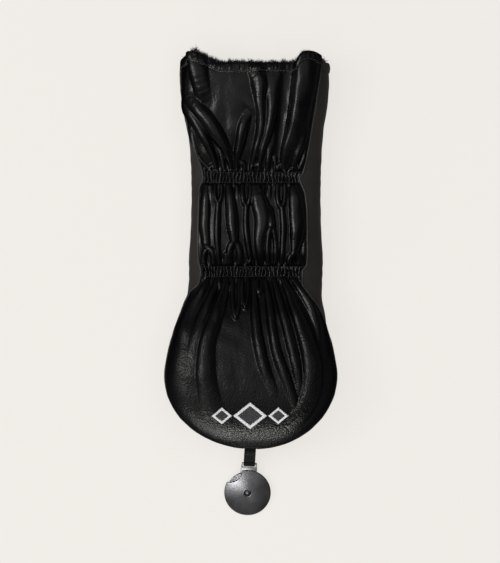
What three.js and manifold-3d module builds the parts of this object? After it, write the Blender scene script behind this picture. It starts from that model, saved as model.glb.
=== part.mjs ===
// A padded driver head cover, lying on its back: a gathered faux-leather front, a smooth back,
// a plush lining, two elastic gathers, and a number tag on a webbing loop at the crown.
// Millimetres, +Z up. The mouth faces +Y, the crown and its tag face -Y, and the front faces +Z.
import * as THREE from "three";
import { mergeVertices } from "three/addons/utils/BufferGeometryUtils.js";
import Module from "manifold-3d";

const wasm = await Module();
wasm.setup();

// ---------------------------------------------------------------- driving dimensions
const GAP = 0.3; // clearance between neighbouring solids
const MOUTH_Y = 199; // the mouth's edge at the middle of the front
const UPPER_GATHER_Y = 95;
const LOWER_GATHER_Y = 10.5;
const CROSS_SEAM_Y = -55; // where the back's sleeve panel meets its crown panel
const CROWN_Y = -83; // the crown's widest section
const CROWN_HALF_WIDTH = 77; // without the piping
const CROWN_LENGTH = 66; // from the widest section to the tip
const CROWN_TOP_Z = 73;
const CROWN_SEAM_Z = 27;
const TIP_SEAM_Z = 16;
const TIP_ANGLE = 1.53; // where the panels end at the tip, in radians round the crown
const TIP_SKEW = 2.5; // the tip sits this far to the right of the widest section

const PANEL = 1.6; // faux leather with its backing
const PADDING = 4.5;
const LINING = 4.2;
const ELASTIC = { width: 9.2, thickness: 1.2 };
const HEM = { depth: 7.5, thickness: 0.9 };
const PIPING_R = 1;
const THREAD_R = 0.45;
const STRAP = { width: 10.5, thickness: 2.4, rootY: -151.5, rootZ: 17.6, x: -0.6, yaw: -0.061 };

const TAG = { tilt: 0.175, dialR: 21.1, plateR: 19.2, plateT: 1.8, barY: 26.7 };
const BAR_R = 1;

// ---------------------------------------------------------------- materials
const finish = (color, roughness, metalness = 0) =>
  new THREE.MeshStandardMaterial({ color, roughness, metalness });
const LEATHER = finish(0x19191a, 0.42);
const BACK_FABRIC = finish(0x2b2a28, 0.8);
const PLUSH = finish(0x1b1a19, 1);
const FOAM = finish(0x3a3a3c, 0.95);
const ELASTIC_WEBBING = finish(0x111112, 0.85);
const THREAD = finish(0x141415, 0.6);
const WHITE_THREAD = finish(0xdcdde0, 0.5);
const GREY_THREAD = finish(0x3b3b3d, 0.6);
const WEBBING = finish(0x0f0f10, 0.8);
const GUNMETAL = finish(0x55555a, 0.35, 0.9);
const RIVET_STEEL = finish(0x1c1c1e, 0.3, 0.8);

// ---------------------------------------------------------------- the cover's form
// A smooth curve through [y, value] stations, without overshoot between them.
function profile(stations) {
  const points = [...stations].sort((a, b) => a[0] - b[0]);
  const slopes = points.slice(1).map(([y, v], i) => (v - points[i][1]) / (y - points[i][0]));
  const tangents = points.map((_, i) => {
    const [before, after] = [slopes[i - 1] ?? 0, slopes[i] ?? 0];
    return before * after <= 0 ? 0 : (2 * before * after) / (before + after);
  });
  return (y) => {
    if (y <= points[0][0]) return points[0][1];
    const i = points.findIndex(([end]) => y < end) - 1;
    if (i < 0) return points.at(-1)[1];
    const span = points[i + 1][0] - points[i][0];
    const t = (y - points[i][0]) / span;
    const [a, b] = [points[i][1], points[i + 1][1]];
    const [ta, tb] = [tangents[i] * span, tangents[i + 1] * span];
    return a + t * (ta + t * (3 * (b - a) - 2 * ta - tb + t * (2 * (a - b) + ta + tb)));
  };
}

const halfWidth = profile([
  [205, 66], [186, 66.8], [160, 65], [140, 61.8], [120, 59.6], [100, 58.4], [60, 58.8],
  [20, 59.8], [-9, 60.6], [-25, 64.3], [-44, 69.2], [-60, 73.6], [CROWN_Y, CROWN_HALF_WIDTH],
]);
const centreX = profile([[205, 3.7], [100, 4.8], [10, 4.5], [-25, 2], [-44, 0], [CROWN_Y, 0]]);
const topZ = profile([
  [205, 50], [186, 53], [150, 51], [120, 46], [UPPER_GATHER_Y, 40.5], [75, 45.5], [50, 47],
  [30, 46], [LOWER_GATHER_Y, 42], [-8, 50], [-30, 61], [-55, 69], [CROWN_Y, CROWN_TOP_Z],
]);
const seamZ = profile([
  [205, 26], [150, 25], [UPPER_GATHER_Y, 21.5], [50, 23], [LOWER_GATHER_Y, 22.5], [-30, 26],
  [CROWN_Y, CROWN_SEAM_Z],
]);
const bottomZ = profile([
  [205, 5], [190, 3.2], [172, 0.5], [160, 0], [-40, 0], [CROSS_SEAM_Y, 2], [-70, 0],
]);
// How far round from the side each seam sits, in degrees towards the front.
const leftSeamAngle = profile([
  [175, 2], [150, 6], [136, 10], [114, 27], [UPPER_GATHER_Y, 35], [84, 29], [43, 28], [21, 30],
  [LOWER_GATHER_Y, 34.5], [0, 32], [-9, 14], [-22, 2], [-34, 0],
]);
const rightSeamAngle = profile([
  [198, 27], [172, 32], [126, 37], [99, 44], [UPPER_GATHER_Y, 48], [79, 41], [60, 39], [34, 39],
  [17, 40], [LOWER_GATHER_Y, 46], [0, 46], [-9, 37], [-18, 27], [-30, 15], [-44, 6], [-62, 0],
]);

// The section at u, which is y down to CROWN_Y and then runs on round the crown to the tip.
function section(u) {
  if (u >= CROWN_Y) {
    return {
      y: u, x: centreX(u), w: halfWidth(u), seam: seamZ(u), top: topZ(u), bottom: bottomZ(u),
    };
  }
  const angle = Math.min((CROWN_Y - u) / CROWN_LENGTH, Math.PI / 2);
  const s = Math.sin(angle);
  const seam = CROWN_SEAM_Z - (CROWN_SEAM_Z - TIP_SEAM_Z) * s ** 2.5;
  return {
    y: CROWN_Y - CROWN_LENGTH * s,
    x: TIP_SKEW * s ** 4,
    w: CROWN_HALF_WIDTH * Math.cos(angle),
    seam,
    top: seam + (CROWN_TOP_Z - CROWN_SEAM_Z) * (1 - s ** 2.3) ** (1 / 2.3),
    bottom: seam - seam * Math.sqrt(1 - s ** 3),
  };
}

// The mouth's corners stand further out than its middle.
function mouthLift(x, phi) {
  const corner = (at, height, spread) => height * Math.exp(-(((x - at) / spread) ** 2));
  const front = Math.max(0, Math.sin(phi));
  return corner(-58, 10, 15) + corner(54, 9, 11) * (0.4 + 0.6 * front);
}

// phi runs from the right side (0) over the front (90 degrees) to the left side, and on round the back.
function skin(u, phi) {
  const at = section(u);
  const [c, s] = [Math.cos(phi), Math.sin(phi)];
  const x = at.x + at.w * c;
  const nearMouth = THREE.MathUtils.smoothstep(u, 140, MOUTH_Y);
  const z =
    s >= 0
      ? at.seam + (at.top - at.seam) * s ** 0.85
      : at.seam - (at.seam - at.bottom) * Math.min(1, 1.06 * (-s) ** 0.6); // flat where it lies
  return new THREE.Vector3(x, at.y + nearMouth * mouthLift(x, phi), z);
}

// A point of the skin moved along its outward normal.
function offsetSkin(u, phi, offset) {
  const along = skin(u + 0.2, phi).sub(skin(u - 0.2, phi));
  const round = skin(u, phi + 0.004).sub(skin(u, phi - 0.004));
  return skin(u, phi).addScaledVector(round.cross(along).normalize().negate(), offset);
}

const leftSeam = (u) => Math.PI - THREE.MathUtils.degToRad(leftSeamAngle(u));
const rightSeam = (u) => THREE.MathUtils.degToRad(rightSeamAngle(u));

// The front's and the back's spans of phi at u, each edge set back from the seam by the given gap.
function span(side, gap) {
  const setBack = (u, seam, way) => {
    const onSeam = skin(u, seam(u));
    // Where the seam runs askew, a step round the section gains less distance from it.
    const along = skin(u + 1, seam(u + 1)).sub(skin(u - 1, seam(u - 1))).normalize();
    const round = skin(u, seam(u) + way * 0.03).sub(onSeam).normalize();
    const reach = gap / Math.max(along.cross(round).length(), 0.4);
    let phi = seam(u);
    while (skin(u, phi).distanceTo(onSeam) < reach) phi += way * 0.001;
    return phi;
  };
  return side === "front"
    ? (u) => [setBack(u, rightSeam, 1), setBack(u, leftSeam, -1)]
    : (u) => [setBack(u, leftSeam, 1), setBack(u, rightSeam, -1) + 2 * Math.PI];
}

const range = (from, to, step) => {
  const n = Math.max(1, Math.round(Math.abs(to - from) / step));
  return Array.from({ length: n + 1 }, (_, i) => from + ((to - from) * i) / n);
};

// Every layer is cut at the same stations and the same columns, so that neighbours stay parallel.
const COLUMNS = 14;
const HEM_STATION = MOUTH_Y - HEM.depth;
const gatherStations = (y) =>
  [y + 9, y + ELASTIC.width / 2, y, y - ELASTIC.width / 2, y - 9];
const SLEEVE = [
  MOUTH_Y, HEM_STATION, ...range(174, 117, 19), ...gatherStations(UPPER_GATHER_Y),
  70, 53, 36, ...gatherStations(LOWER_GATHER_Y), -12, -25, -39, CROSS_SEAM_Y + 2.5,
];
const CROWN = range(CROWN_Y, CROWN_Y - CROWN_LENGTH * TIP_ANGLE, 11.5);
const CROSS_SEAM = [CROSS_SEAM_Y + GAP, CROSS_SEAM_Y - GAP];

// ---------------------------------------------------------------- solids from rings of points
// Joins rings of equal length into a skin; capped at both ends, or closed on itself.
function loft(rings, closed = false) {
  const n = rings[0].length;
  const positions = rings.flat().flatMap((p) => [p.x, p.y, p.z]);
  const faces = [];
  const count = closed ? rings.length : rings.length - 1;
  for (let i = 0; i < count; i++) {
    const [a, b] = [i * n, ((i + 1) % rings.length) * n];
    for (let k = 0; k < n; k++) {
      const m = (k + 1) % n;
      // Both rows are split along the same diagonal, so that two layers stay parallel.
      if (k < n / 2) faces.push(a + k, b + k, b + m, a + k, b + m, a + m);
      else faces.push(a + k, b + k, a + m, b + k, b + m, a + m);
    }
  }
  if (!closed) {
    // A ring is an outer row followed by the inner row in reverse, so its cap is a strip.
    const last = (rings.length - 1) * n;
    for (let k = 0; k < n / 2 - 1; k++) {
      const [a, b, c, d] = [k, k + 1, n - 2 - k, n - 1 - k];
      faces.push(a, b, c, a, c, d);
      faces.push(last + a, last + c, last + b, last + a, last + d, last + c);
    }
  }
  const geometry = new THREE.BufferGeometry();
  geometry.setAttribute("position", new THREE.Float32BufferAttribute(positions, 3));
  geometry.setIndex(faces);
  return facingOut(geometry);
}

function facingOut(geometry) {
  const p = geometry.getAttribute("position");
  const index = geometry.index.array;
  const corner = (i) => new THREE.Vector3().fromBufferAttribute(p, index[i]);
  let volume = 0;
  for (let i = 0; i < index.length; i += 3) {
    volume += corner(i).dot(corner(i + 1).cross(corner(i + 2)));
  }
  if (volume < 0) {
    for (let i = 0; i < index.length; i += 3) {
      [index[i + 1], index[i + 2]] = [index[i + 2], index[i + 1]];
    }
  }
  geometry.computeVertexNormals();
  return geometry;
}

// A layer of the cover between two depths under the skin. Each depth may change along the cover.
function layer(stations, side, gap, outer, inner) {
  const phis = span(side, gap);
  const rings = range(0, COLUMNS, 1).map((j) => {
    const point = (u, depth) => {
      const [from, to] = phis(u);
      return offsetSkin(u, from + ((to - from) * j) / COLUMNS, -depth(u));
    };
    return [
      ...stations.map((u) => point(u, outer)),
      ...[...stations].reverse().map((u) => point(u, inner)),
    ];
  });
  return loft(rings);
}

// A round cord through the points, with one ring at each, so that it keeps to its neighbours'
// facets. up is a direction across the cord at point i.
function cord(points, up, radius, sides) {
  const last = points.length - 1;
  const rings = points.map((p, i) => {
    const along = points[Math.min(i + 1, last)].clone().sub(points[Math.max(i - 1, 0)]);
    const across = along.clone().cross(up(i)).normalize();
    const normal = across.clone().cross(along).normalize();
    return range(0, sides - 1, 1).map((k) => {
      const angle = (2 * Math.PI * k) / sides;
      return p.clone()
        .addScaledVector(across, radius * Math.cos(angle))
        .addScaledVector(normal, radius * Math.sin(angle));
    });
  });
  return loft(rings);
}

// ---------------------------------------------------------------- booleans
function solidOf(geometry, matrix = new THREE.Matrix4()) {
  const bare = geometry.clone().applyMatrix4(matrix);
  bare.deleteAttribute("normal");
  bare.deleteAttribute("uv");
  const merged = mergeVertices(bare, 1e-4);
  return new wasm.Manifold(
    new wasm.Mesh({
      numProp: 3,
      vertProperties: merged.attributes.position.array,
      triVerts: new Uint32Array(merged.index.array),
    }),
  );
}

function geometryOf(solid) {
  const mesh = solid.getMesh();
  const geometry = new THREE.BufferGeometry();
  geometry.setAttribute("position", new THREE.BufferAttribute(mesh.vertProperties, 3));
  geometry.setIndex(new THREE.BufferAttribute(mesh.triVerts, 1));
  geometry.computeVertexNormals();
  return geometry;
}

const moved = (x, y, z) => new THREE.Matrix4().makeTranslation(x, y, z);
const upright = (radius, height, x, y, z, segments = 32) =>
  solidOf(
    new THREE.CylinderGeometry(radius, radius, height, segments).rotateX(Math.PI / 2),
    moved(x, y, z),
  );
const block = (w, d, h, x, y, z) => solidOf(new THREE.BoxGeometry(w, d, h), moved(x, y, z));

// ---------------------------------------------------------------- assembly
const cover = new THREE.Group();
function add(name, geometry, material, parent = cover) {
  const mesh = new THREE.Mesh(geometry, material);
  mesh.name = name;
  parent.add(mesh);
  return mesh;
}

// The lining lies on the padding in the crown and just under the elastic in the sleeve.
const liningDepth = profile([
  [-9, PANEL + ELASTIC.thickness + 2 * GAP], [-25, PANEL + PADDING + 2 * GAP],
]);
const constant = (value) => () => value;
const panelEdge = PIPING_R + 0.4;

// The webbing passes out between the panels through a slot in the seam at the crown's tip.
const slot = solidOf(
  new THREE.BoxGeometry(STRAP.width + 2 * GAP, 14, STRAP.thickness + 2),
  new THREE.Matrix4().makeRotationZ(STRAP.yaw).setPosition(STRAP.x, STRAP.rootY, STRAP.rootZ - 0.6),
);
const slotted = (geometry) => geometryOf(solidOf(geometry).subtract(slot));

function addPanels() {
  const leather = [panelEdge, constant(0), constant(PANEL)];
  const front = [...SLEEVE, CROSS_SEAM_Y, -69, ...CROWN];
  add("front_panel", slotted(layer(front, "front", ...leather)), LEATHER);
  add("back_sleeve_panel", layer([...SLEEVE, CROSS_SEAM[0]], "back", ...leather), BACK_FABRIC);
  const crown = layer([CROSS_SEAM[1], -69, ...CROWN], "back", panelEdge + 0.9, ...leather.slice(1));
  add("back_crown_panel", slotted(crown), LEATHER);
}

function addPaddingAndLining() {
  const firstPadded = SLEEVE.indexOf(-25);
  for (const side of ["front", "back"]) {
    const middle = side === "front" ? [CROSS_SEAM_Y] : CROSS_SEAM;
    const padded = [...SLEEVE.slice(firstPadded), ...middle, -69, ...CROWN.slice(0, -2)];
    const lined = [MOUTH_Y + 2.2, ...SLEEVE, ...middle, -69, ...CROWN.slice(0, -3)];
    const [top, bottom] = [PANEL + GAP, PANEL + GAP + PADDING];
    add(`${side}_padding`, layer(padded, side, 1.6, constant(top), constant(bottom)), FOAM);
    const plush = layer(lined, side, 1.6, liningDepth, (u) => liningDepth(u) + LINING);
    add(`${side}_lining`, plush, PLUSH);
  }
}

// A folded strip that wraps the mouth's edge, outside and inside.
function addHems() {
  const t = HEM.thickness;
  const [low, edge] = [HEM_STATION, MOUTH_Y + GAP];
  const inside = -PANEL - GAP;
  const outline = [
    [low, GAP], [edge, GAP], [edge, inside], [low, inside],
    [low, inside - t], [edge + t, inside - t], [edge + t, GAP + t], [low, GAP + t],
  ];
  for (const [side, material] of [["front", LEATHER], ["back", BACK_FABRIC]]) {
    const phis = span(side, panelEdge);
    const rings = range(0, COLUMNS, 1).map((j) =>
      outline.map(([u, offset]) => {
        const [from, to] = phis(u);
        return offsetSkin(u, from + ((to - from) * j) / COLUMNS, offset);
      }),
    );
    add(`${side}_hem`, loft(rings), material);
  }
}

function addElastics() {
  const half = ELASTIC.width / 2;
  const depths = [constant(PANEL + GAP), constant(PANEL + GAP + ELASTIC.thickness)];
  for (const [name, y] of [["upper", UPPER_GATHER_Y], ["lower", LOWER_GATHER_Y]]) {
    add(`${name}_elastic`, layer([y + half, y, y - half], "front", 2, ...depths), ELASTIC_WEBBING);
  }
}

// A row of stitching across one side of the cover, lying on whatever is at that height.
function stitchRow(name, side, u, height) {
  const [from, to] = span(side, panelEdge)(u);
  const phi = (j) => from + ((to - from) * j) / COLUMNS;
  const at = (j) => offsetSkin(u, phi(j), height + GAP + THREAD_R);
  const points = range(0, COLUMNS, 1).map(at);
  // Each end stops short of the piping.
  points[0].lerp(points[1], 0.25);
  points[COLUMNS].lerp(points[COLUMNS - 1], 0.25);
  const up = (j) => offsetSkin(u, phi(j), 9).sub(offsetSkin(u, phi(j), 0));
  add(name, cord(points, up, THREAD_R, 6), THREAD);
}

function addStitching() {
  const onHem = GAP + HEM.thickness;
  stitchRow("front_hem_stitching", "front", HEM_STATION + 1.2, onHem);
  stitchRow("back_hem_stitching", "back", HEM_STATION + 1.2, onHem);
  for (const [name, y] of [["upper", UPPER_GATHER_Y], ["lower", LOWER_GATHER_Y]]) {
    stitchRow(`${name}_gather_stitching_top`, "front", y + ELASTIC.width / 2, 0);
    stitchRow(`${name}_gather_stitching_bottom`, "front", y - ELASTIC.width / 2, 0);
  }
  stitchRow("cross_seam_stitching", "back", CROSS_SEAM_Y + 2.5, 0);
}

function addPiping() {
  const stations = [...SLEEVE, CROSS_SEAM_Y, -69, ...CROWN];
  for (const [side, seam] of [["left", leftSeam], ["right", rightSeam]]) {
    const at = (u, height) => offsetSkin(u, seam(u), height);
    const up = (i) => at(stations[i], 9).sub(at(stations[i], 0));
    const points = stations.map((u) => at(u, 0));
    add(`${side}_seam_piping`, slotted(cord(points, up, PIPING_R, 8)), LEATHER);
  }
}

// ---------------------------------------------------------------- emblem
// Three lozenges in a row, embroidered near the tip of the crown.
const EMBLEM = { x: -0.6, y: -117, thread: 0.8 };
const LOZENGES = [
  { name: "middle", x: 0, w: 15, h: 12, line: 3 },
  { name: "left", x: -25, w: 9, h: 7.5, line: 2.3 },
  { name: "right", x: 25, w: 9, h: 7.5, line: 2.3 },
];

// The front's surface over a point of the plan, raised by height.
function onFront(x, y, height) {
  const angle = Math.asin((CROWN_Y - y) / CROWN_LENGTH);
  const u = CROWN_Y - CROWN_LENGTH * angle;
  const at = section(u);
  return offsetSkin(u, Math.acos((x - at.x) / at.w), height);
}

function lozengeOutline(lozenge, inset) {
  const [w, h] = [lozenge.w - inset * 1.35, lozenge.h - inset * 1.1];
  const corners = [[w, 0], [0, h], [-w, 0], [0, -h]];
  return corners.flatMap(([x, y], i) => {
    const [nextX, nextY] = corners[(i + 1) % 4];
    return range(0, 3, 1).slice(0, 4).map((k) => [
      lozenge.x + x + ((nextX - x) * k) / 4,
      y + ((nextY - y) * k) / 4,
    ]);
  });
}

function addEmblem() {
  const place = ([x, y], height) => onFront(EMBLEM.x + x, EMBLEM.y + y, height);
  const [low, high] = [GAP, GAP + EMBLEM.thread];
  for (const lozenge of LOZENGES) {
    const outer = lozengeOutline(lozenge, 0);
    const inner = lozengeOutline(lozenge, lozenge.line);
    const rings = outer.map((p, i) => [
      place(p, low), place(p, high), place(inner[i], high), place(inner[i], low),
    ]);
    add(`emblem_${lozenge.name}_outline`, loft(rings, true), WHITE_THREAD);
    const fill = lozengeOutline(lozenge, lozenge.line + 0.4);
    const middle = [lozenge.x, 0];
    const halfway = ([x, y]) => [(x + middle[0]) / 2, (y + middle[1]) / 2];
    const levels = [
      fill.map((p) => place(halfway(halfway(halfway(p))), low)), fill.map((p) => place(p, low)),
      fill.map((p) => place(p, high)), fill.map((p) => place(halfway(halfway(halfway(p))), high)),
    ];
    add(`emblem_${lozenge.name}_fill`, discLoft(levels), GREY_THREAD);
  }
}

// Rings of equal length, closed at both ends by a fan.
function discLoft(rings) {
  const n = rings[0].length;
  const centre = (ring) =>
    ring.reduce((sum, p) => sum.add(p), new THREE.Vector3()).divideScalar(n);
  const points = [...rings.flat(), centre(rings[0]), centre(rings.at(-1))];
  const faces = [];
  for (let k = 0; k < n; k++) {
    const m = (k + 1) % n;
    for (let i = 0; i < rings.length - 1; i++) {
      const [a, b] = [i * n, (i + 1) * n];
      faces.push(a + k, b + k, b + m, a + k, b + m, a + m);
    }
    const last = (rings.length - 1) * n;
    faces.push(points.length - 2, k, m, points.length - 1, last + m, last + k);
  }
  const geometry = new THREE.BufferGeometry();
  geometry.setAttribute(
    "position",
    new THREE.Float32BufferAttribute(points.flatMap((p) => [p.x, p.y, p.z]), 3),
  );
  geometry.setIndex(faces);
  return facingOut(geometry);
}

// ---------------------------------------------------------------- webbing loop and tag
// The webbing's own frame: its root at the crown's tip, turned a little to the left.
const strap = new THREE.Group();
strap.position.set(STRAP.x, STRAP.rootY, STRAP.rootZ);
strap.rotation.z = STRAP.yaw;
cover.add(strap);

// The tag hangs by its bar in the webbing's end, with its far rim on the surface below.
const BAR_DROP = 8.6; // below the webbing's root
const BAR_REACH = 12; // beyond it
const tag = new THREE.Group();
tag.rotation.x = TAG.tilt;
tag.position.set(0, -BAR_REACH, -BAR_DROP);
strap.add(tag);

// An outline in the (y, z) plane, extruded to a width along x.
function acrossX(shape, width, curveSegments = 10) {
  const geometry = new THREE.ExtrudeGeometry(shape, {
    depth: width, bevelEnabled: false, curveSegments,
  });
  // The shape's own axes become y and z.
  const axes = new THREE.Matrix4().makeBasis(
    new THREE.Vector3(0, 1, 0), new THREE.Vector3(0, 0, 1), new THREE.Vector3(1, 0, 0),
  );
  return geometry.applyMatrix4(axes).translate(-width / 2, 0, 0);
}

function addStrap() {
  const half = STRAP.thickness / 2;
  const [hole, ring] = [BAR_R + 0.5, BAR_R + 0.5 + 1.1];
  // Straight run from the root to the bar, at this slope.
  const slope = Math.atan2(-BAR_DROP, -BAR_REACH);
  const length = Math.hypot(BAR_DROP, BAR_REACH);
  const meet = Math.asin(half / ring);
  const outline = new THREE.Shape();
  outline.absarc(0, 0, half, Math.PI / 2, (3 * Math.PI) / 2);
  outline.absarc(length, 0, ring, Math.PI + meet, 3 * Math.PI - meet);
  outline.closePath();
  outline.holes.push(new THREE.Path().absarc(length, 0, hole, 0, 2 * Math.PI));
  const loop = acrossX(outline, STRAP.width);
  add("webbing_loop", loop, WEBBING, strap).rotation.x = slope;

  const anchorLength = 5;
  const anchor = new THREE.BoxGeometry(STRAP.width, anchorLength, STRAP.thickness);
  add("webbing_anchor", anchor, WEBBING, strap).position.y = half + GAP + anchorLength / 2;

  const stitch = [-4, 4].map((x) => new THREE.Vector3(x, 0, half + GAP + THREAD_R));
  const up = () => new THREE.Vector3(0, 0, 1);
  const row = add("webbing_stitching", cord(stitch, up, THREAD_R, 8), THREAD, strap);
  row.rotation.x = slope;
  row.position.set(0, 3 * Math.cos(slope), 3 * Math.sin(slope));
}

// The back plate and its bail, in the tag's frame: x across, y towards the cover, z to the front.
function addTag() {
  const centreY = -TAG.barY;
  const barZ = 0;
  const bottom = barZ - TAG.plateT / 2;
  const [bailW, slotW] = [14.2, STRAP.width + 1.2];
  const bailTop = BAR_R + 1.4;
  const slotBottom = -(BAR_R + 0.5 + 1.1 + 0.6);
  const plate = upright(TAG.plateR, TAG.plateT, 0, centreY, 0, 56)
    .add(block(bailW, bailTop + 10, TAG.plateT, 0, (bailTop - 10) / 2, 0))
    .subtract(block(slotW, bailTop + 5 - slotBottom, 9, 0, (bailTop + 5 + slotBottom) / 2, 0))
    .add(
      solidOf(new THREE.CylinderGeometry(BAR_R, BAR_R, bailW - 1, 16).rotateZ(Math.PI / 2)),
    )
    .subtract(upright(1.8, 9, 0, centreY, 0))
    .subtract(upright(3.3, 1, 0, centreY, bottom + 0.3));
  add("tag_plate", geometryOf(plate), GUNMETAL, tag);

  const stack = new THREE.Group();
  stack.position.set(0, centreY, bottom);
  tag.add(stack);

  // Radii and heights above the plate's back.
  const lathe = (points, segments) =>
    new THREE.LatheGeometry(points.map(([r, z]) => new THREE.Vector2(r, z)), segments)
      .rotateX(Math.PI / 2);
  const top = TAG.plateT;
  const dome = (r) => 5.2 - 2 * (r / TAG.dialR) ** 2;
  const dialOutline = [
    [1.8, top + 1], [5, top + 1], [7, dome(7) - 1.2], [14, dome(14) - 1.2], [20.2, top + 0.6],
    [TAG.dialR, top + 0.9], [TAG.dialR, 3.1], [20.4, dome(20.4)], [14, dome(14)], [7, dome(7)],
    [2.9, dome(2.9)], [2.9, 3.9], [1.8, 3.9], [1.8, top + 1],
  ];
  const bite = { r: 11.6, reach: 26.95, angle: 2.277 };
  const dial = solidOf(lathe(dialOutline, 48)).subtract(
    upright(bite.r, 20, bite.reach * Math.cos(bite.angle), bite.reach * Math.sin(bite.angle), 0),
  );
  add("tag_dial", geometryOf(dial), GUNMETAL, stack);

  const washer = lathe(
    [[1.9, top + GAP], [4.8, top + GAP], [4.8, top + 0.7], [1.9, top + 0.7], [1.9, top + GAP]], 24);
  add("tag_spring_washer", washer, RIVET_STEEL, stack);

  const rivet = lathe(
    [[0, 0], [2.9, 0], [2.9, 0.45], [1.5, 0.45], [1.5, 4.2], [2.5, 4.2], [2.4, 4.6], [1.6, 5],
      [0, 5.15]], 24);
  add("tag_rivet", rivet, RIVET_STEEL, stack);
}

addPanels();
addPaddingAndLining();
addHems();
addElastics();
addStitching();
addPiping();
addEmblem();
addStrap();
addTag();

export default cover;
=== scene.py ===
"""A padded driver head cover lying on its back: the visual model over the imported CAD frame."""
import math

import bpy
import numpy as np
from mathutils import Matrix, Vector


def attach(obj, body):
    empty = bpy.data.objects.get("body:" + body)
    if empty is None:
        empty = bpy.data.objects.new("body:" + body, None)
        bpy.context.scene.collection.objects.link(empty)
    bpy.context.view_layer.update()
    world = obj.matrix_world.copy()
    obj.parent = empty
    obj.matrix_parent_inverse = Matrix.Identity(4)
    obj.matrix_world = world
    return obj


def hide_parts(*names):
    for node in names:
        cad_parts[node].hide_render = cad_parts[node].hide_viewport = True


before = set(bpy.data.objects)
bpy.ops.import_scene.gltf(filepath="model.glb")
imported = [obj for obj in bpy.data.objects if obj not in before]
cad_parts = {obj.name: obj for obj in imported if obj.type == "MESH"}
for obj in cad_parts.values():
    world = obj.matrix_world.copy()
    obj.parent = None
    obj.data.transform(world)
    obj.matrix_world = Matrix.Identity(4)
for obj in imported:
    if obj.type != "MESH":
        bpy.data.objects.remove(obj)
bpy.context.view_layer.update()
RNG = np.random.default_rng(7)
MM = 0.001

# ------------------------------------------------------------------ camera and colour
cam_data = bpy.data.cameras.new("camera")
cam_data.sensor_width = 36
cam_data.lens = 175.5
camera = bpy.data.objects.new("camera", cam_data)
camera.location = (-0.0007, 0.0018, 2.5)
bpy.context.collection.objects.link(camera)
bpy.context.scene.camera = camera
bpy.context.scene.view_settings.view_transform = "Standard"

# ------------------------------------------------------------------ the cover's form, in mm
# The stations are the CAD solids' own. Between its seams the front is fuller than they are, by up
# to about 10 mm near the crown's rim.
GAP = 0.3
MOUTH_Y = 199
UPPER_GATHER_Y = 95
LOWER_GATHER_Y = 10.5
CROSS_SEAM_Y = -55
CROWN_Y = -83
CROWN_HALF_WIDTH = 77
CROWN_LENGTH = 66
CROWN_TOP_Z = 73
CROWN_SEAM_Z = 27
TIP_SEAM_Z = 16
TIP_ANGLE = 1.53
TIP_SKEW = 2.5
TIP_U = CROWN_Y - CROWN_LENGTH * TIP_ANGLE
PANEL = 1.6
PADDING = 4.5
LINING = 4.2
CROWN_POWER = 3.7  # how square the crown's top is towards its tip; 2 would be an ellipse
FRONT_POWER = 3.0  # how full the front's section is on the sleeve
CROWN_EXTRA = 1.4  # and how much is added to that on the crown
MOUTH_EDGE_Y = MOUTH_Y + 0.3
FOAM_TOP_Y, FOAM_LOW_Y = -25.0, CROWN_Y - 75
LINING_TOP_Y, LINING_LOW_Y = MOUTH_Y + 2.0, CROWN_Y - 65
ELASTIC_WIDTH = 9.2
ELASTIC_THICKNESS = 1.2
HEM_DEPTH = 7.5


def profile(stations):
    """A smooth curve through (y, value) stations, without overshoot between them."""
    points = np.array(sorted(stations), float)
    xs, vs = points[:, 0], points[:, 1]
    slopes = np.diff(vs) / np.diff(xs)
    before, after = np.append(0, slopes), np.append(slopes, 0)
    total = before + after
    tangents = np.where(before * after > 0, 2 * before * after / np.where(total == 0, 1, total), 0)

    def value(y):
        y = np.clip(y, xs[0], xs[-1])
        i = np.clip(np.searchsorted(xs, y, side="right") - 1, 0, len(xs) - 2)
        width = xs[i + 1] - xs[i]
        t = (y - xs[i]) / width
        a, b, ta, tb = vs[i], vs[i + 1], tangents[i] * width, tangents[i + 1] * width
        return a + t * (ta + t * (3 * (b - a) - 2 * ta - tb + t * (2 * (a - b) + ta + tb)))

    return value


half_width = profile([
    (205, 66), (186, 66.8), (160, 65), (140, 61.8), (120, 59.6), (100, 58.4), (60, 58.8),
    (20, 59.8), (-9, 60.6), (-25, 64.3), (-44, 69.2), (-60, 73.6), (CROWN_Y, CROWN_HALF_WIDTH)])
centre_x = profile([(205, 3.7), (100, 4.8), (10, 4.5), (-25, 2), (-44, 0), (CROWN_Y, 0)])
top_z = profile([
    (205, 50), (186, 53), (150, 51), (120, 46), (UPPER_GATHER_Y, 40.5), (75, 45.5), (50, 47),
    (30, 46), (LOWER_GATHER_Y, 42), (-8, 50), (-30, 61), (-55, 69), (CROWN_Y, CROWN_TOP_Z)])
seam_z = profile([
    (205, 26), (150, 25), (UPPER_GATHER_Y, 21.5), (50, 23), (LOWER_GATHER_Y, 22.5), (-30, 26),
    (CROWN_Y, CROWN_SEAM_Z)])
bottom_z = profile([
    (205, 5), (190, 3.2), (172, 0.5), (160, 0), (-40, 0), (CROSS_SEAM_Y, 2), (-70, 0)])
left_seam_angle = profile([
    (175, 2), (150, 6), (136, 10), (114, 27), (UPPER_GATHER_Y, 35), (84, 29), (43, 28), (21, 30),
    (LOWER_GATHER_Y, 34.5), (0, 32), (-9, 14), (-22, 2), (-34, 0)])
right_seam_angle = profile([
    (198, 27), (172, 32), (126, 37), (99, 44), (UPPER_GATHER_Y, 48), (79, 41), (60, 39), (34, 39),
    (17, 40), (LOWER_GATHER_Y, 46), (0, 46), (-9, 37), (-18, 27), (-30, 15), (-44, 6), (-62, 0)])


def smoothstep(x, low, high):
    t = np.clip((x - low) / (high - low), 0, 1)
    return t * t * (3 - 2 * t)


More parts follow.
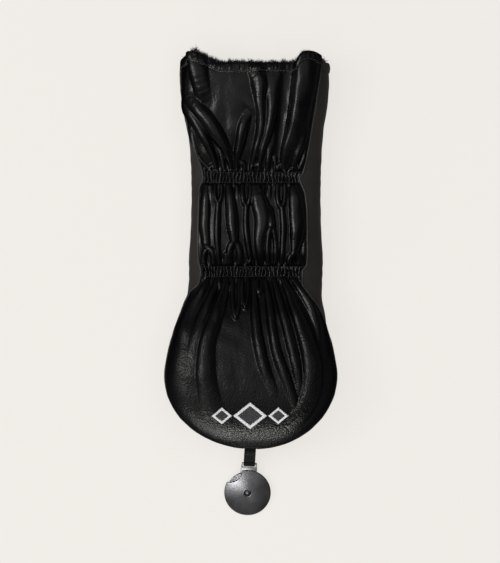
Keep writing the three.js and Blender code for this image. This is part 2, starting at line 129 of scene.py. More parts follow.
def section(u):
    """The section at u, which is y down to CROWN_Y and then runs on round the crown."""
    angle = np.clip((CROWN_Y - u) / CROWN_LENGTH, 0, math.pi / 2)
    s = np.sin(angle)
    crown = u < CROWN_Y
    seam_c = CROWN_SEAM_Z - (CROWN_SEAM_Z - TIP_SEAM_Z) * s ** 2.5
    top_c = seam_c + (CROWN_TOP_Z - CROWN_SEAM_Z) * np.maximum(1 - s ** CROWN_POWER, 0) ** (1 / CROWN_POWER)
    bottom_c = seam_c - seam_c * np.sqrt(np.maximum(1 - s ** 3, 0))
    return (
        np.where(crown, CROWN_Y - CROWN_LENGTH * s, u),
        np.where(crown, TIP_SKEW * s ** 4, centre_x(u)),
        np.where(crown, CROWN_HALF_WIDTH * np.cos(angle), half_width(u)),
        np.where(crown, seam_c, seam_z(u)),
        np.where(crown, top_c, top_z(u)),
        np.where(crown, bottom_c, bottom_z(u)),
    )


def mouth_lift(x, phi):
    """How far the mouth's edge stands up at its two lobes, and dips between them."""
    front = np.maximum(0, np.sin(phi))
    left = 6.6 * np.exp(-(((x + 54) / 14) ** 2)) * smoothstep(x, -65.5, -54)
    roll = 9 * smoothstep(x, 39.5, 48) * (1 - smoothstep(x, 49, 70))
    behind = 8.6 * np.exp(-(((x - 52) / 12) ** 2)) * smoothstep(x, 36, 45)
    return left + front * roll + (1 - front) * behind - 3 * smoothstep(x, -42, -25)


def skin(u, phi):
    """A point of the cover's outside. phi runs from the right side over the front."""
    u, phi = np.broadcast_arrays(np.asarray(u, float), np.asarray(phi, float))
    y, x0, w, seam, top, bottom = section(u)
    c, s = np.cos(phi), np.sin(phi)
    x = x0 + w * c
    fullness = FRONT_POWER + CROWN_EXTRA * smoothstep(-u, 0, 85)
    front = seam + (top - seam) * np.maximum(1 - np.abs(c) ** fullness, 0) ** (1 / fullness)
    back = seam - (seam - bottom) * np.minimum(1, 1.06 * np.maximum(-s, 0) ** 0.6)
    z = np.where(s >= 0, front, back)
    y = y + smoothstep(u, 140, MOUTH_Y) * mouth_lift(x, phi)
    return np.stack([x, y, z], -1)


def unit(v):
    return v / np.maximum(np.linalg.norm(v, axis=-1, keepdims=True), 1e-9)


def skin_normal(u, phi):
    along = skin(u + 0.2, phi) - skin(u - 0.2, phi)
    around = skin(u, phi + 0.004) - skin(u, phi - 0.004)
    return -unit(np.cross(around, along))


def seam_phi(side, u):
    if side == "left":
        return math.pi - np.radians(left_seam_angle(u))
    return np.radians(right_seam_angle(u))


def phi_at(side, u, t):
    """phi for t from 0 to 1 across the front (right to left) or the back (left to right)."""
    right, left = seam_phi("right", u), seam_phi("left", u)
    if side == "front":
        return right + (left - right) * t
    return left + (right + 2 * math.pi - left) * t


# ------------------------------------------------------------------ meshes
def mesh_object(name, verts, faces, material, body="cover", mm=True):
    """faces is one array of faces, or a list of arrays, each with its own number of corners."""
    faces = faces if isinstance(faces, list) else [faces]
    blocks = [np.atleast_2d(np.asarray(f, np.int32)) for f in faces]
    verts = np.asarray(verts, float).reshape(-1, 3) * (MM if mm else 1)
    mesh = bpy.data.meshes.new(name)
    corners = np.concatenate([f.ravel() for f in blocks])
    sizes = np.concatenate([np.full(len(f), f.shape[1], np.int32) for f in blocks])
    mesh.vertices.add(len(verts))
    mesh.vertices.foreach_set("co", verts.astype(np.float32).ravel())
    mesh.loops.add(len(corners))
    mesh.loops.foreach_set("vertex_index", corners)
    mesh.polygons.add(len(sizes))
    mesh.polygons.foreach_set("loop_start", np.append(0, np.cumsum(sizes)[:-1]).astype(np.int32))
    mesh.update(calc_edges=True)
    mesh.validate()
    mesh.polygons.foreach_set("use_smooth", [True] * len(mesh.polygons))
    mesh.materials.append(material)
    obj = bpy.data.objects.new(name, mesh)
    bpy.context.collection.objects.link(obj)
    if body:
        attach(obj, body)
    return obj


def stands_for(node):
    """The piece replaces the CAD node, which is hidden."""
    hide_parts(node)


def grid_faces(rows, columns, offset=0, wrap_columns=False, flip=False):
    r = np.arange(rows - 1)
    c = np.arange(columns if wrap_columns else columns - 1)
    i, j = np.meshgrid(r, c, indexing="ij")
    i2, j2 = i + 1, (j + 1) % columns
    faces = np.stack([i * columns + j, i * columns + j2, i2 * columns + j2, i2 * columns + j], -1)
    faces = faces.reshape(-1, 4) + offset
    return faces[:, ::-1] if flip else faces


class Soup:
    """Collects many small meshes into one."""

    def __init__(self):
        self.verts, self.faces, self.count = [], [], 0

    def add(self, verts, faces):
        self.verts.append(np.asarray(verts, float).reshape(-1, 3))
        faces = faces if isinstance(faces, list) else [faces]
        self.faces += [np.atleast_2d(f) + self.count for f in faces]
        self.count += len(self.verts[-1])

    def placed(self, place):
        self.verts = [place(np.concatenate(self.verts))]
        return self

    def object(self, name, material, **kw):
        return mesh_object(name, np.concatenate(self.verts), self.faces, material, **kw)


def tubes(points, radius, sides=10, up=(0, 0, 1), flat=1.0):
    """Tubes along an (n, rows, 3) array of points; flat squashes them along up."""
    p = np.asarray(points, float)
    if p.ndim == 2:
        p = p[None]
    n, rows = p.shape[:2]
    up = np.broadcast_to(np.asarray(up, float), p.shape)
    across = unit(np.cross(unit(np.gradient(p, axis=1)), up))
    normal = np.cross(across, unit(np.gradient(p, axis=1)))
    angle = np.linspace(0, 2 * math.pi, sides, endpoint=False)
    r = np.broadcast_to(np.asarray(radius, float), (n, rows))[..., None, None]
    rings = (p[:, :, None] + r * (np.cos(angle)[:, None] * across[:, :, None]
             + flat * np.sin(angle)[:, None] * normal[:, :, None]))
    starts = np.arange(n)[:, None, None] * rows * sides
    faces = [(grid_faces(rows, sides, wrap_columns=True)[None] + starts).reshape(-1, 4)]
    first = np.arange(n)[:, None] * rows * sides
    faces.append(first + np.arange(sides - 1, -1, -1))
    faces.append(first + np.arange((rows - 1) * sides, rows * sides))
    return rings.reshape(-1, 3), faces


def stitches(soup, starts, ends, normals, radius=0.32, sides=6, bury=0.35, rows=5, arch=0.5):
    """Threads from starts to ends, whose tips dip under the surface."""
    a, b = np.asarray(starts, float)[:, None], np.asarray(ends, float)[:, None]
    normals = np.broadcast_to(np.asarray(normals, float), (len(a), 3))
    t = np.linspace(0, 1, rows)
    lift = arch * radius * (1 - (2 * t - 1) ** 4) - bury * (2 * t - 1) ** 8
    points = a + (b - a) * t[:, None] + normals[:, None] * lift[:, None]
    thick = radius * (0.55 + 0.45 * np.sqrt(1 - np.abs(2 * t - 1) ** 3))
    soup.add(*tubes(points, thick, sides, np.repeat(normals[:, None], rows, 1).reshape(len(a), rows, 3)))


# ------------------------------------------------------------------ folds of the front
def curved(points, parts=3):
    """The points of a smooth curve through a line's points, parts to each stretch."""
    p = np.array(points, float)
    if len(p) < 3:
        return points
    p = np.concatenate([[2 * p[0] - p[1]], p, [2 * p[-1] - p[-2]]])
    line = []
    for a, b, c, d in zip(p, p[1:], p[2:], p[3:]):
        for t in np.arange(parts) / parts:
            bend = a - 2.5 * b + 2 * c - d / 2 + t * (1.5 * (b - c) + (d - a) / 2)
            line.append(b + t * ((c - a) / 2 + t * bend))
    line.append(p[-2])
    return [(x, y, max(w, 0.3), max(h, 0.0)) for x, y, w, h in line]


def fold_field(x, y, folds, blend=5):
    """Height of a set of puffy folds over the plan. Where two meet, they leave a crease."""
    total = np.zeros_like(x)
    for fold in folds:
        points, lean = curved(fold["points"]), fold.get("lean", 1.0)
        best = np.zeros_like(x)
        for (x0, y0, w0, h0), (x1, y1, w1, h1) in zip(points, points[1:]):
            reach = max(w0, w1) * max(1, lean) + 1
            near = ((x > min(x0, x1) - reach) & (x < max(x0, x1) + reach)
                    & (y > min(y0, y1) - reach) & (y < max(y0, y1) + reach))
            px, py = x[near] - x0, y[near] - y0
            dx, dy = x1 - x0, y1 - y0
            t = np.clip((px * dx + py * dy) / (dx * dx + dy * dy), 0, 1)
            ox, oy = px - t * dx, py - t * dy
            # Folds run downwards, so the cross product's sign tells left from right.
            side = np.where(ox * dy - oy * dx > 0, 1.0, lean)
            w = (w0 + (w1 - w0) * t) * side
            h = h0 + (h1 - h0) * t
            d = np.sqrt(ox * ox + oy * oy) / np.maximum(w, 0.1)
            value = h * np.maximum(0, 1 - d ** fold.get("flat", 2)) ** fold.get("power", 0.7)
            best[near] = np.maximum(best[near], value)
        total += best ** blend
    return total ** (1 / blend)


def fork(x, y_band, y_tip, half, h=2.6):
    """A ridge that parts in two before it reaches a gather, with a hollow between."""
    folds, w = [], max(1.7, 0.66 * half)
    for side in (-1, 1):
        line = [(x, y_tip, 2.0, h * 0.8)]
        for f, k in ((0.14, 0.55), (0.4, 0.92), (0.7, 1.0), (1.0, 0.85)):
            line.append((x + side * half * k, y_tip + (y_band - y_tip) * f, w, h * 1.1))
        folds.append(dict(points=line if y_tip > y_band else line[::-1]))
    return folds


def ridge(*points, **shape):
    """A fold along (x, y, half width, height) points. lean: how many times wider its right side is."""
    return dict(points=list(points), **shape)


# Each fold runs from the mouth's end down.
UPPER_FOLDS = [
    ridge((-52, 210, 5.5, 6), (-50.5, 192, 5.5, 6.4), (-47.5, 177, 5, 4.4), (-45, 163, 4.5, 1.0),
          lean=2.3, power=1.0),
    ridge((-62, 166, 4, 1.5), (-56, 155, 4.6, 3.6), (-46.5, 141, 5, 5), (-39, 127, 4.4, 5),
          (-32.5, 112, 3, 3.8), (-30.5, 103, 2.2, 2.4), lean=0.9),
    ridge((-62, 178, 8, 0.2), (-58, 169, 6, 1.6), (-50, 159, 5.8, 4), (-41, 148, 6.5, 5.6),
          (-31, 134, 6.2, 6), (-24, 123, 4.6, 5), (-18.5, 109, 3, 3.6), (-17.5, 103, 2.2, 2.6),
          lean=1.2),
    ridge((-56, 139, 3, 1.5), (-53, 131, 3.4, 3), (-47.5, 114, 3, 3), (-37, 103, 2.2, 2.4)),
    ridge((-16, 192, 14, 0.3), (-12, 170, 15, 0.6), (-14, 142, 8, 0.6), (-19, 122, 3, 0.3),
          power=1.3),
    ridge((6, 190, 9, 2.6), (9, 178, 9, 5), (9, 163, 6.4, 5.4), (10, 150, 5.4, 5.2),
          (9, 136, 4.8, 5), (3.5, 116, 3.4, 4), (0.5, 103, 2.4, 2.6), lean=0.7),
    ridge((-20, 181, 8, 0.2), (-8, 168, 8, 1.2), (3, 156, 6, 1.6), (6, 148, 5, 1.0), power=1.3),
    ridge((-2.5, 154, 4, 0.2), (-4.5, 147, 5, 2.4), (-7, 139, 5.2, 4.6), (-9.5, 126, 4.6, 4.8),
          (-12.5, 112, 3, 3.6), (-13.5, 104, 2.2, 2.6)),
    ridge((20, 200, 9, 0.2), (20, 186, 8, 1), (20, 172, 7, 2.6), (19, 158, 6, 4.6),
          (17, 142, 5.2, 4.8), (13, 128, 4.2, 4.4), (9, 115, 3.2, 3.6), (7, 104, 2.2, 2.4),
          lean=0.9),
    ridge((51, 216, 9.5, 9), (46.5, 192, 9, 9.5), (42.5, 165, 8, 9), (38, 140, 6.8, 7.6),
          (31.5, 121, 4.6, 5.4), (28.5, 104, 2.8, 3), lean=2.2, flat=2.4, power=0.75),
    ridge((49, 158, 7, 0.2), (48.5, 146, 6.5, 3.2), (47, 133, 6, 6), (43, 120, 4.8, 5.4),
          (38, 107, 2.8, 3.4), (37, 103, 2.2, 2.4)),
    ridge((18, 126, 3, 0.2), (17, 118, 2.8, 1.4), (15.5, 110, 2.8, 2.6), (15, 103, 2.2, 2.4)),
    ridge((22, 112, 2.4, 1.6), (21.5, 103, 2.2, 2.4)),
    ridge((52, 122, 3.6, 1.8), (47, 111, 3.2, 3), (43.5, 103, 2.2, 2.4)),
    ridge((-28, 123, 2.4, 0.1), (-26, 113, 2.6, 1.4), (-24, 103, 2.2, 2.4)),
]
UPPER_FOLDS += (fork(-9, 100, 109.5, 3.6) + fork(4, 100, 107.5, 3.6) + fork(27.5, 100, 107.5, 3.4)
                + fork(38.5, 100, 104.5, 2.6) + fork(-33.5, 100, 106, 3))
MIDDLE_FOLDS = [
    ridge((-40, 88, 3.4, 2.6), (-41, 70, 5, 3.2), (-41.5, 50, 5, 3.2), (-40, 36, 4, 2.6)),
    ridge((-29, 72, 2.8, 3.2), (-30, 50, 3.2, 3.4), (-29.5, 32, 2.8, 3), (-28, 17, 2.2, 2.4)),
    ridge((-20, 88, 3.4, 2.6), (-18, 74, 5.4, 4), (-16, 52, 6, 4.6), (-14.5, 38, 4, 4), lean=0.9),
    ridge((-4, 69, 2.6, 3.2), (-4.5, 52, 3, 3.2), (-2.5, 34, 2.8, 3), (0, 22, 2.2, 2.6)),
    ridge((5, 86, 5, 2.8), (8, 72, 8, 4.4), (11, 58, 8, 4.8), (8, 40, 5.4, 4.2),
          (8.5, 26, 3.6, 3.4), (9.5, 17, 2.4, 2.6), flat=2.4),
    ridge((17, 66, 3.5, 2.4), (18.5, 52, 4, 4)),
    ridge((27.5, 68, 2.6, 3.2), (29, 50, 3, 3.2), (28, 30, 2.6, 3), (27, 17, 2.2, 2.4)),
    ridge((38, 86, 4, 3), (39.5, 72, 6, 4.4), (41, 52, 6.4, 4.8), (39.5, 36, 4.4, 3.6),
          (38.5, 27, 2.8, 3), lean=1.5),
    ridge((49, 80, 3, 1.4), (50, 52, 3, 1.6), (49, 26, 3, 1.4)),
    ridge((-22, 26, 2.8, 2), (-22.5, 17, 2.2, 2.4)),
    ridge((17, 88, 2.4, 2.6), (16, 80, 2.6, 1.2), (15.5, 74, 2.6, 0.1)),
    ridge((-12.5, 88, 2.4, 2.6), (-12, 79, 2.6, 1.4), (-11.5, 72, 2.6, 0.1)),
    ridge((-36, 88, 2.4, 2.6), (-35.5, 78, 2.6, 1.4), (-35, 70, 2.6, 0.1)),
    ridge((45, 88, 2.4, 2.6), (46, 79, 2.6, 1.4), (46.5, 72, 2.6, 0.1)),
]
MIDDLE_FOLDS += (fork(-29, 90, 72, 3.0) + fork(-4, 90, 69, 3.7) + fork(27, 90, 67.5, 3.5)
                 + fork(9.5, 90, 82, 2.2) + fork(-14.5, 15, 38, 5.0) + fork(18.5, 15, 52, 3.7)
                 + fork(38.5, 15, 27, 4.4) + fork(-37.5, 15, 32, 4.6) + fork(0, 15, 21, 2.4))
CROWN_FOLDS = [
    ridge((-37, 6, 2.4, 2.4), (-43, -7, 4.2, 4), (-53, -22, 6, 3.8), (-59, -42, 9, 3.2),
          (-62, -62, 10, 2.4), (-62, -82, 11, 1.5), (-58, -100, 11, 0.7), (-53, -114, 11, 0.1),
          power=1.2),
    ridge((-30, 5, 2.2, 2.4), (-34, -9, 3.8, 4.2), (-42, -28, 6, 4), (-49, -48, 7.5, 3),
          (-52, -68, 8, 1.8), (-52, -86, 9, 0.8), (-50, -100, 9, 0.1), power=1.0),
    ridge((-22, 5, 2.2, 2.6), (-26, -12, 4, 4.8), (-33, -32, 5.4, 5.6), (-40, -52, 6, 5.4),
          (-42, -72, 7, 4.8), (-41, -88, 7.5, 4), (-38, -104, 8, 2), (-34, -116, 9, 0.2), lean=1.5),
    ridge((2, 5, 2.2, 2.6), (3, -14, 3.4, 4.6), (4, -34, 4.4, 5), (7, -55, 4.8, 4.8),
          (11.5, -74, 4.8, 3.8), (17, -88, 4.4, 2), (20, -97, 4, 0.6), lean=1.1),
    ridge((12, 5, 2.2, 2.6), (16, -16, 3.6, 4.6), (19, -42, 4.2, 5), (23.5, -64, 4.6, 4.8),
          (31, -84, 4.6, 4), (37, -100, 4.2, 2.4), (40, -110, 3.6, 0.6), lean=1.05),
    ridge((20, 5, 2.2, 2.6), (26, -18, 3.8, 4.6), (33.5, -46, 4.6, 4.8), (39.5, -70, 4.6, 4),
          (43, -90, 4, 2), (44, -101, 3.4, 0.5)),
    ridge((28, 5, 2.2, 2.6), (36, -16, 4, 4.4), (46, -44, 6, 5.6), (52.5, -70, 7, 6),
          (52, -92, 7, 5), (46, -110, 6.4, 3), (38, -120, 6, 0.8), lean=1.6, flat=2.3),
    ridge((36, 6, 2.2, 2.4), (44, -6, 3.4, 4), (54, -20, 4.8, 4.2), (62, -36, 6, 2.6),
          (67, -52, 6, 0.8)),
    ridge((43, 7, 2, 2), (52, -5, 2.8, 2.6), (61, -19, 3.4, 1.8), (66, -32, 3.4, 0.6)),
]
CROWN_FOLDS += (fork(-13.5, 5, -31, 3.2) + fork(-5, 5, -22, 2.6) + fork(7.5, 5, -9, 2)
                + fork(-26, 5, -4, 1.8))

# Hollows that go below the plain form, given like the folds.
HOLLOWS = [
    ridge((33, 196, 5, 0.6), (31.5, 176, 6.5, 1.6), (28.5, 152, 6, 1.7), (26, 132, 5, 1.5),
          (23, 112, 3, 0.8), power=1.3),
]


def pleats(y_at, count, x_low, x_high, seed):
    """Short puffs on both sides of a gather, where the pleats open out."""
    rng = np.random.default_rng(seed)
    folds = []
    for way in (1, -1):
        edges = np.linspace(x_low, x_high, count + 1)
        for a, b in zip(edges, edges[1:]):
            x = (a + b) / 2 + rng.uniform(-0.7, 0.7)
            w = (b - a) * rng.uniform(0.42, 0.55)
            length, h = rng.uniform(2, 6), rng.uniform(1.6, 2.6)
            drift = rng.uniform(-0.6, 0.6)
            line = [(x, y_at + way * 3.6, w, h), (x + drift, y_at + way * (4.4 + length), w * 0.8, h * 0.2)]
            folds.append(dict(points=line if way < 0 else line[::-1]))
    return folds


PUFFS = pleats(UPPER_GATHER_Y, 25, -43, 48, 3) + pleats(LOWER_GATHER_Y, 25, -44.5, 47, 5)
BANDS = [(UPPER_GATHER_Y, -42, 48, 30, 11), (LOWER_GATHER_Y, -44.5, 48, 31, 12)]


def band_pleats(x, y):
    """The fine pleats inside each gather, nipped by its two rows of stitching."""
    height, inside = np.zeros_like(x), np.zeros_like(x)
    for y_at, low, high, count, seed in BANDS:
        rng = np.random.default_rng(seed)
        widths = rng.uniform(0.65, 1.35, count)
        edges = np.append(0, np.cumsum(widths)) / widths.sum() * (high - low) + low
        heights = rng.uniform(2.3, 3.5, count)
        near = np.abs(y - y_at) < 8
        xs = x[near] + 0.5 * np.sin((y[near] - y_at) * 0.55 + x[near] * 0.35)
        k = np.clip(np.searchsorted(edges, xs) - 1, 0, count - 1)
        t = np.clip((xs - edges[k]) / (edges[k + 1] - edges[k]), 0, 1)
        lobe = heights[k] * np.maximum(0, 1 - (2 * t - 1) ** 2) ** 0.9 - 1.2
        off = np.abs(y[near] - y_at)
        nip = 1 - 0.35 * np.exp(-(((off - 4.6) / 0.8) ** 2))
        amount = 1 - smoothstep(off + 0.8 * waves(xs, 0 * xs, seed + 20, 6), 4.4, 7.5)
        height[near] += lobe * nip * amount
        inside[near] = np.maximum(inside[near], amount)
    return height, inside


def waves(x, y, seed, size, count=24, stretch=1.0):
    """Smooth seeded unevenness of about the given size, from -1 to 1."""
    rng = np.random.default_rng(seed)
    total = np.zeros_like(x)
    for _ in range(count):
        angle, phase = rng.uniform(0, 2 * math.pi, 2)
        k = 2 * math.pi / (size * rng.uniform(0.6, 1.6))
        total += np.sin(k * (x * math.cos(angle) + y * math.sin(angle) / stretch) + phase)
    return total / math.sqrt(count)


def front_height(x, y):
    """How far the gathered leather stands off the plain form."""
    raised = UPPER_FOLDS + MIDDLE_FOLDS + CROWN_FOLDS + PUFFS
    folds = fold_field(x, y, raised) - fold_field(x, y, HOLLOWS)
    fine, inside = band_pleats(x, y)
    height = folds * (1 - inside) + fine
    calm = 1 - smoothstep(-y, 88, 104) * 0.8
    return height + calm * (0.3 * waves(x, y, 21, 24) + 0.07 * waves(x, y, 22, 9, stretch=2.5))


def front_surface(u, t, lift=0.0):
    """The gathered front at u and t, raised by lift, as points in mm."""
    phi = phi_at("front", u, t)
    base, normal = skin(u, phi), skin_normal(u, phi)
    edge = smoothstep(np.minimum(t, 1 - t), 0.0, 0.045)
    height = front_height(base[..., 0], base[..., 1]) * edge
    return base + normal * (height + lift)[..., None]


# ------------------------------------------------------------------ materials
def new_material(name):
    material = bpy.data.materials.new(name)
    material.use_nodes = True
    nodes, links = material.node_tree.nodes, material.node_tree.links
    return material, nodes, links, nodes["Principled BSDF"]


def add(nodes, kind, **inputs):
    node = nodes.new(kind)
    for key, value in inputs.items():
        if key in node.inputs:
            node.inputs[key].default_value = value
        else:
            setattr(node, key, value)
    return node


def ramp(nodes, stops):
    node = nodes.new("ShaderNodeValToRGB")
    elements = node.color_ramp.elements
    while len(elements) < len(stops):
        elements.new(0.5)
    for element, (at, colour) in zip(elements, stops):
        element.position = at
        element.color = (*colour, 1)
    return node


def grey(v):
    return (v, v, v)


def noise_on(nodes, links, where, scale, detail):
    noise = add(nodes, "ShaderNodeTexNoise", Scale=scale, Detail=detail)
    links.new(where.outputs["Object"], noise.inputs["Vector"])
    return noise


def bumped(nodes, links, height, target, **inputs):
    """A bump from an output, which becomes the target's normal."""
    bump = add(nodes, "ShaderNodeBump", **inputs)
    links.new(height, bump.inputs["Height"])
    links.new(bump.outputs["Normal"], target.inputs["Normal"])
    return bump


def through_ramp(nodes, links, factor, stops, target=None):
    """A colour ramp driven by an output, led to the target socket."""
    shade = ramp(nodes, stops)
    links.new(factor, shade.inputs["Fac"])
    if target is not None:
        links.new(shade.outputs["Color"], target)
    return shade


def ranged(nodes, links, value, *limits):
    """A map range over an output: from low, from high, to low, to high."""
    node = add(nodes, "ShaderNodeMapRange")
    for key, limit in zip(("From Min", "From Max", "To Min", "To Max"), limits):
        node.inputs[key].default_value = limit
    links.new(value, node.inputs["Value"])
    return node


def leather_material(name, base, dark, rough, pebble=0.0015, depth=0.0005):
    """Pebbled faux leather: raised cells with fine creases between them, and a worn sheen."""
    material, nodes, links, bsdf = new_material(name)
    where = add(nodes, "ShaderNodeTexCoord")
    warp = noise_on(nodes, links, where, 260.0, 3.0)
    shift = add(nodes, "ShaderNodeVectorMath", operation="MULTIPLY_ADD")
    shift.inputs[1].default_value = (0.0009, 0.0009, 0.0009)
    links.new(warp.outputs["Color"], shift.inputs[0])
    links.new(where.outputs["Object"], shift.inputs[2])
    cells = add(nodes, "ShaderNodeTexVoronoi", feature="SMOOTH_F1", Scale=1 / pebble, Smoothness=0.25)
    links.new(shift.outputs[0], cells.inputs["Vector"])
    fine = noise_on(nodes, links, where, 3200.0, 3.0)
    second = bumped(nodes, links, fine.outputs["Fac"], bsdf, Strength=0.3, Distance=0.00006)
    first = bumped(nodes, links, cells.outputs["Distance"], second, Distance=depth, invert=True)
    # The grain is pulled smoother where the leather is gathered than on the full crown.
    along = add(nodes, "ShaderNodeSeparateXYZ")
    links.new(where.outputs["Object"], along.inputs["Vector"])
    pulled = ranged(nodes, links, along.outputs["Y"], 0.0, -0.09, 0.2, 0.62)
    links.new(pulled.outputs["Result"], first.inputs["Strength"])
    patches = noise_on(nodes, links, where, 38.0, 4.0)
    through_ramp(nodes, links, patches.outputs["Fac"], [(0.3, dark), (0.75, base)],
                 bsdf.inputs["Base Color"])
    gloss = through_ramp(nodes, links, patches.outputs["Fac"],
                         [(0.3, grey(rough - 0.05)), (0.7, grey(rough + 0.07))])
    # The crown is duller than the gathered leather too.
    duller = ranged(nodes, links, along.outputs["Y"], -0.01, -0.09, 0.0, 0.09)
    total = add(nodes, "ShaderNodeMath", operation="ADD")
    links.new(gloss.outputs["Color"], total.inputs[0])
    links.new(duller.outputs["Result"], total.inputs[1])
    links.new(total.outputs["Value"], bsdf.inputs["Roughness"])
    return material


def cloth_material(name, base, dark, rough, scale, depth, sheen=0.3):
    """A plain fine weave: crossed threads, uneven colour, and a soft sheen."""
    material, nodes, links, bsdf = new_material(name)
    where = add(nodes, "ShaderNodeTexCoord")
    warp = add(nodes, "ShaderNodeTexWave", Scale=scale, Distortion=0.6, Detail=1.0)
    weft = add(nodes, "ShaderNodeTexWave", bands_direction="Y", Scale=scale, Distortion=0.6, Detail=1.0)
    for wave in (warp, weft):
        links.new(where.outputs["Object"], wave.inputs["Vector"])
    both = add(nodes, "ShaderNodeMath", operation="MAXIMUM")
    links.new(warp.outputs["Fac"], both.inputs[0])
    links.new(weft.outputs["Fac"], both.inputs[1])
    bumped(nodes, links, both.outputs[0], bsdf, Strength=0.5, Distance=depth)
    patches = noise_on(nodes, links, where, 30.0, 5.0)
    through_ramp(nodes, links, patches.outputs["Fac"], [(0.3, dark), (0.75, base)],
                 bsdf.inputs["Base Color"])
    bsdf.inputs["Roughness"].default_value = rough
    bsdf.inputs["Sheen Weight"].default_value = sheen
    bsdf.inputs["Sheen Roughness"].default_value = 0.5
    return material


def thread_material(name, base, dark, rough=0.5, twist=0.0007, sheen=0.2, specular=0.5):
    """Twisted embroidery or sewing thread."""
    material, nodes, links, bsdf = new_material(name)
    where = add(nodes, "ShaderNodeTexCoord")
    fibres = noise_on(nodes, links, where, 1 / twist, 4.0)
    bumped(nodes, links, fibres.outputs["Fac"], bsdf, Strength=0.5, Distance=0.00005)
    through_ramp(nodes, links, fibres.outputs["Fac"], [(0.25, dark), (0.7, base)],
                 bsdf.inputs["Base Color"])
    bsdf.inputs["Roughness"].default_value = rough
    bsdf.inputs["Sheen Weight"].default_value = sheen
    bsdf.inputs["Specular IOR Level"].default_value = specular
    return material


def metal_material(name, base, dark, rough, metallic=0.9, anisotropic=0.0, grain=900.0, depth=0.00002):
    """Plated or painted metal with fine grain and slightly uneven gloss."""
    material, nodes, links, bsdf = new_material(name)
    where = add(nodes, "ShaderNodeTexCoord")
    noise = noise_on(nodes, links, where, grain, 4.0)
    bumped(nodes, links, noise.outputs["Fac"], bsdf, Strength=0.4, Distance=depth)
    cloud = noise_on(nodes, links, where, 90.0, 3.0)
    through_ramp(nodes, links, cloud.outputs["Fac"], [(0.3, dark), (0.7, base)],
                 bsdf.inputs["Base Color"])
    through_ramp(nodes, links, cloud.outputs["Fac"],
                 [(0.3, grey(rough - 0.04)), (0.7, grey(rough + 0.05))], bsdf.inputs["Roughness"])
    bsdf.inputs["Metallic"].default_value = metallic
    bsdf.inputs["Anisotropic"].default_value = anisotropic
    bsdf.inputs["Anisotropic Rotation"].default_value = 0.25 if anisotropic else 0.0
    if anisotropic:  # turned on a lathe, so the grain runs in circles round its middle
        links.new(add(nodes, "ShaderNodeTangent", direction_type="RADIAL", axis="Z").outputs[0],
                  bsdf.inputs["Tangent"])
    return material


LEATHER = leather_material("leather", (0.0014, 0.00137, 0.0014), (0.0009, 0.00088, 0.0009), 0.3)
# The piping's leather is made much lighter than the rest of the leather: a painted highlight along the
# raised cord of the seams.
CORD_LEATHER_PAINTED_HIGHLIGHT = leather_material("cord_leather_painted_highlight", (0.035, 0.034, 0.033), (0.024, 0.023, 0.022), 0.4,
                                depth=0.0001)
BACK_CLOTH = cloth_material("back_cloth", (0.017, 0.016, 0.0145), (0.0125, 0.0118, 0.0108), 0.7,
                            420.0, 0.00005, 0.05)
PLUSH = cloth_material("plush", (0.016, 0.0145, 0.0125), (0.008, 0.0075, 0.007), 0.9, 300.0, 0.0003, 0.5)
FUR = thread_material("fur", (0.014, 0.012, 0.010), (0.004, 0.0036, 0.0032), 0.7, 0.004)
FOAM = cloth_material("foam", (0.05, 0.05, 0.052), (0.035, 0.035, 0.037), 0.95, 500.0, 0.0002, 0.1)
ELASTIC = cloth_material("elastic", (0.012, 0.012, 0.012), (0.007, 0.007, 0.007), 0.85, 500.0, 0.0001)
THREAD = thread_material("thread", (0.014, 0.014, 0.015), (0.007, 0.007, 0.0075), 0.45)
WHITE_THREAD = thread_material("white_thread", (0.74, 0.75, 0.77), (0.56, 0.57, 0.59), 0.5)
GREY_THREAD = thread_material("grey_thread", (0.05, 0.05, 0.055), (0.022, 0.022, 0.024), 0.55)
WEBBING = thread_material("webbing", (0.008, 0.008, 0.0083), (0.004, 0.004, 0.0043), 0.8,
                          sheen=0.02, specular=0.15)
GUNMETAL = metal_material("gunmetal", (0.092, 0.092, 0.097), (0.08, 0.08, 0.085), 0.31, 0.95, 0.35)
PLATE = metal_material("plate", (0.3, 0.3, 0.31), (0.2, 0.2, 0.21), 0.42, 0.9)
BLACK_METAL = metal_material("black_metal", (0.012, 0.012, 0.013), (0.008, 0.008, 0.009), 0.32, 0.4)
RIVET = metal_material("rivet", (0.45, 0.45, 0.47), (0.38, 0.38, 0.4), 0.22, 0.95)

# ------------------------------------------------------------------ front and back panels
def rows_of(start, step=0.98):
    return np.linspace(start, TIP_U, int((start - TIP_U) / step) + 1)


def grid_piece(name, points, material, flip=False):
    rows, columns = points.shape[:2]
    return mesh_object(name, points.reshape(-1, 3), grid_faces(rows, columns, flip=flip), material)


def sheet_grid(rows, columns, edge=0.002):
    """u down the rows and t across the columns, a little short of the seams."""
    return np.meshgrid(rows, np.linspace(edge, 1 - edge, columns), indexing="ij")


U, T = sheet_grid(rows_of(MOUTH_EDGE_Y), 250)
front_points = front_surface(U, T)
front = grid_piece("gathered_front", front_points, LEATHER)
stands_for("front_panel")


def back_height(y, z):
    """Slight slackness of the plain back, more at its sides and by the gathers."""
    side = smoothstep(z, 4, 16)
    height = side * (0.35 * waves(y, z * 2, 31, 60, stretch=1) + 0.12 * waves(y, z, 32, 18))
    for y_at in (UPPER_GATHER_Y, LOWER_GATHER_Y):
        height += side * 0.14 * np.exp(-(((y - y_at) / 14) ** 2)) * np.sin(y * 0.62 + z * 0.1)
    return height


def back_surface(u, t, lift=0.0):
    phi = phi_at("back", u, t)
    base, normal = skin(u, phi), skin_normal(u, phi)
    edge = smoothstep(np.minimum(t, 1 - t), 0.0, 0.05)
    height = back_height(base[..., 1], base[..., 2]) * edge
    return base + normal * (height + lift)[..., None]


U, T = sheet_grid(np.linspace(MOUTH_EDGE_Y, CROSS_SEAM_Y + 0.2, 230), 170)
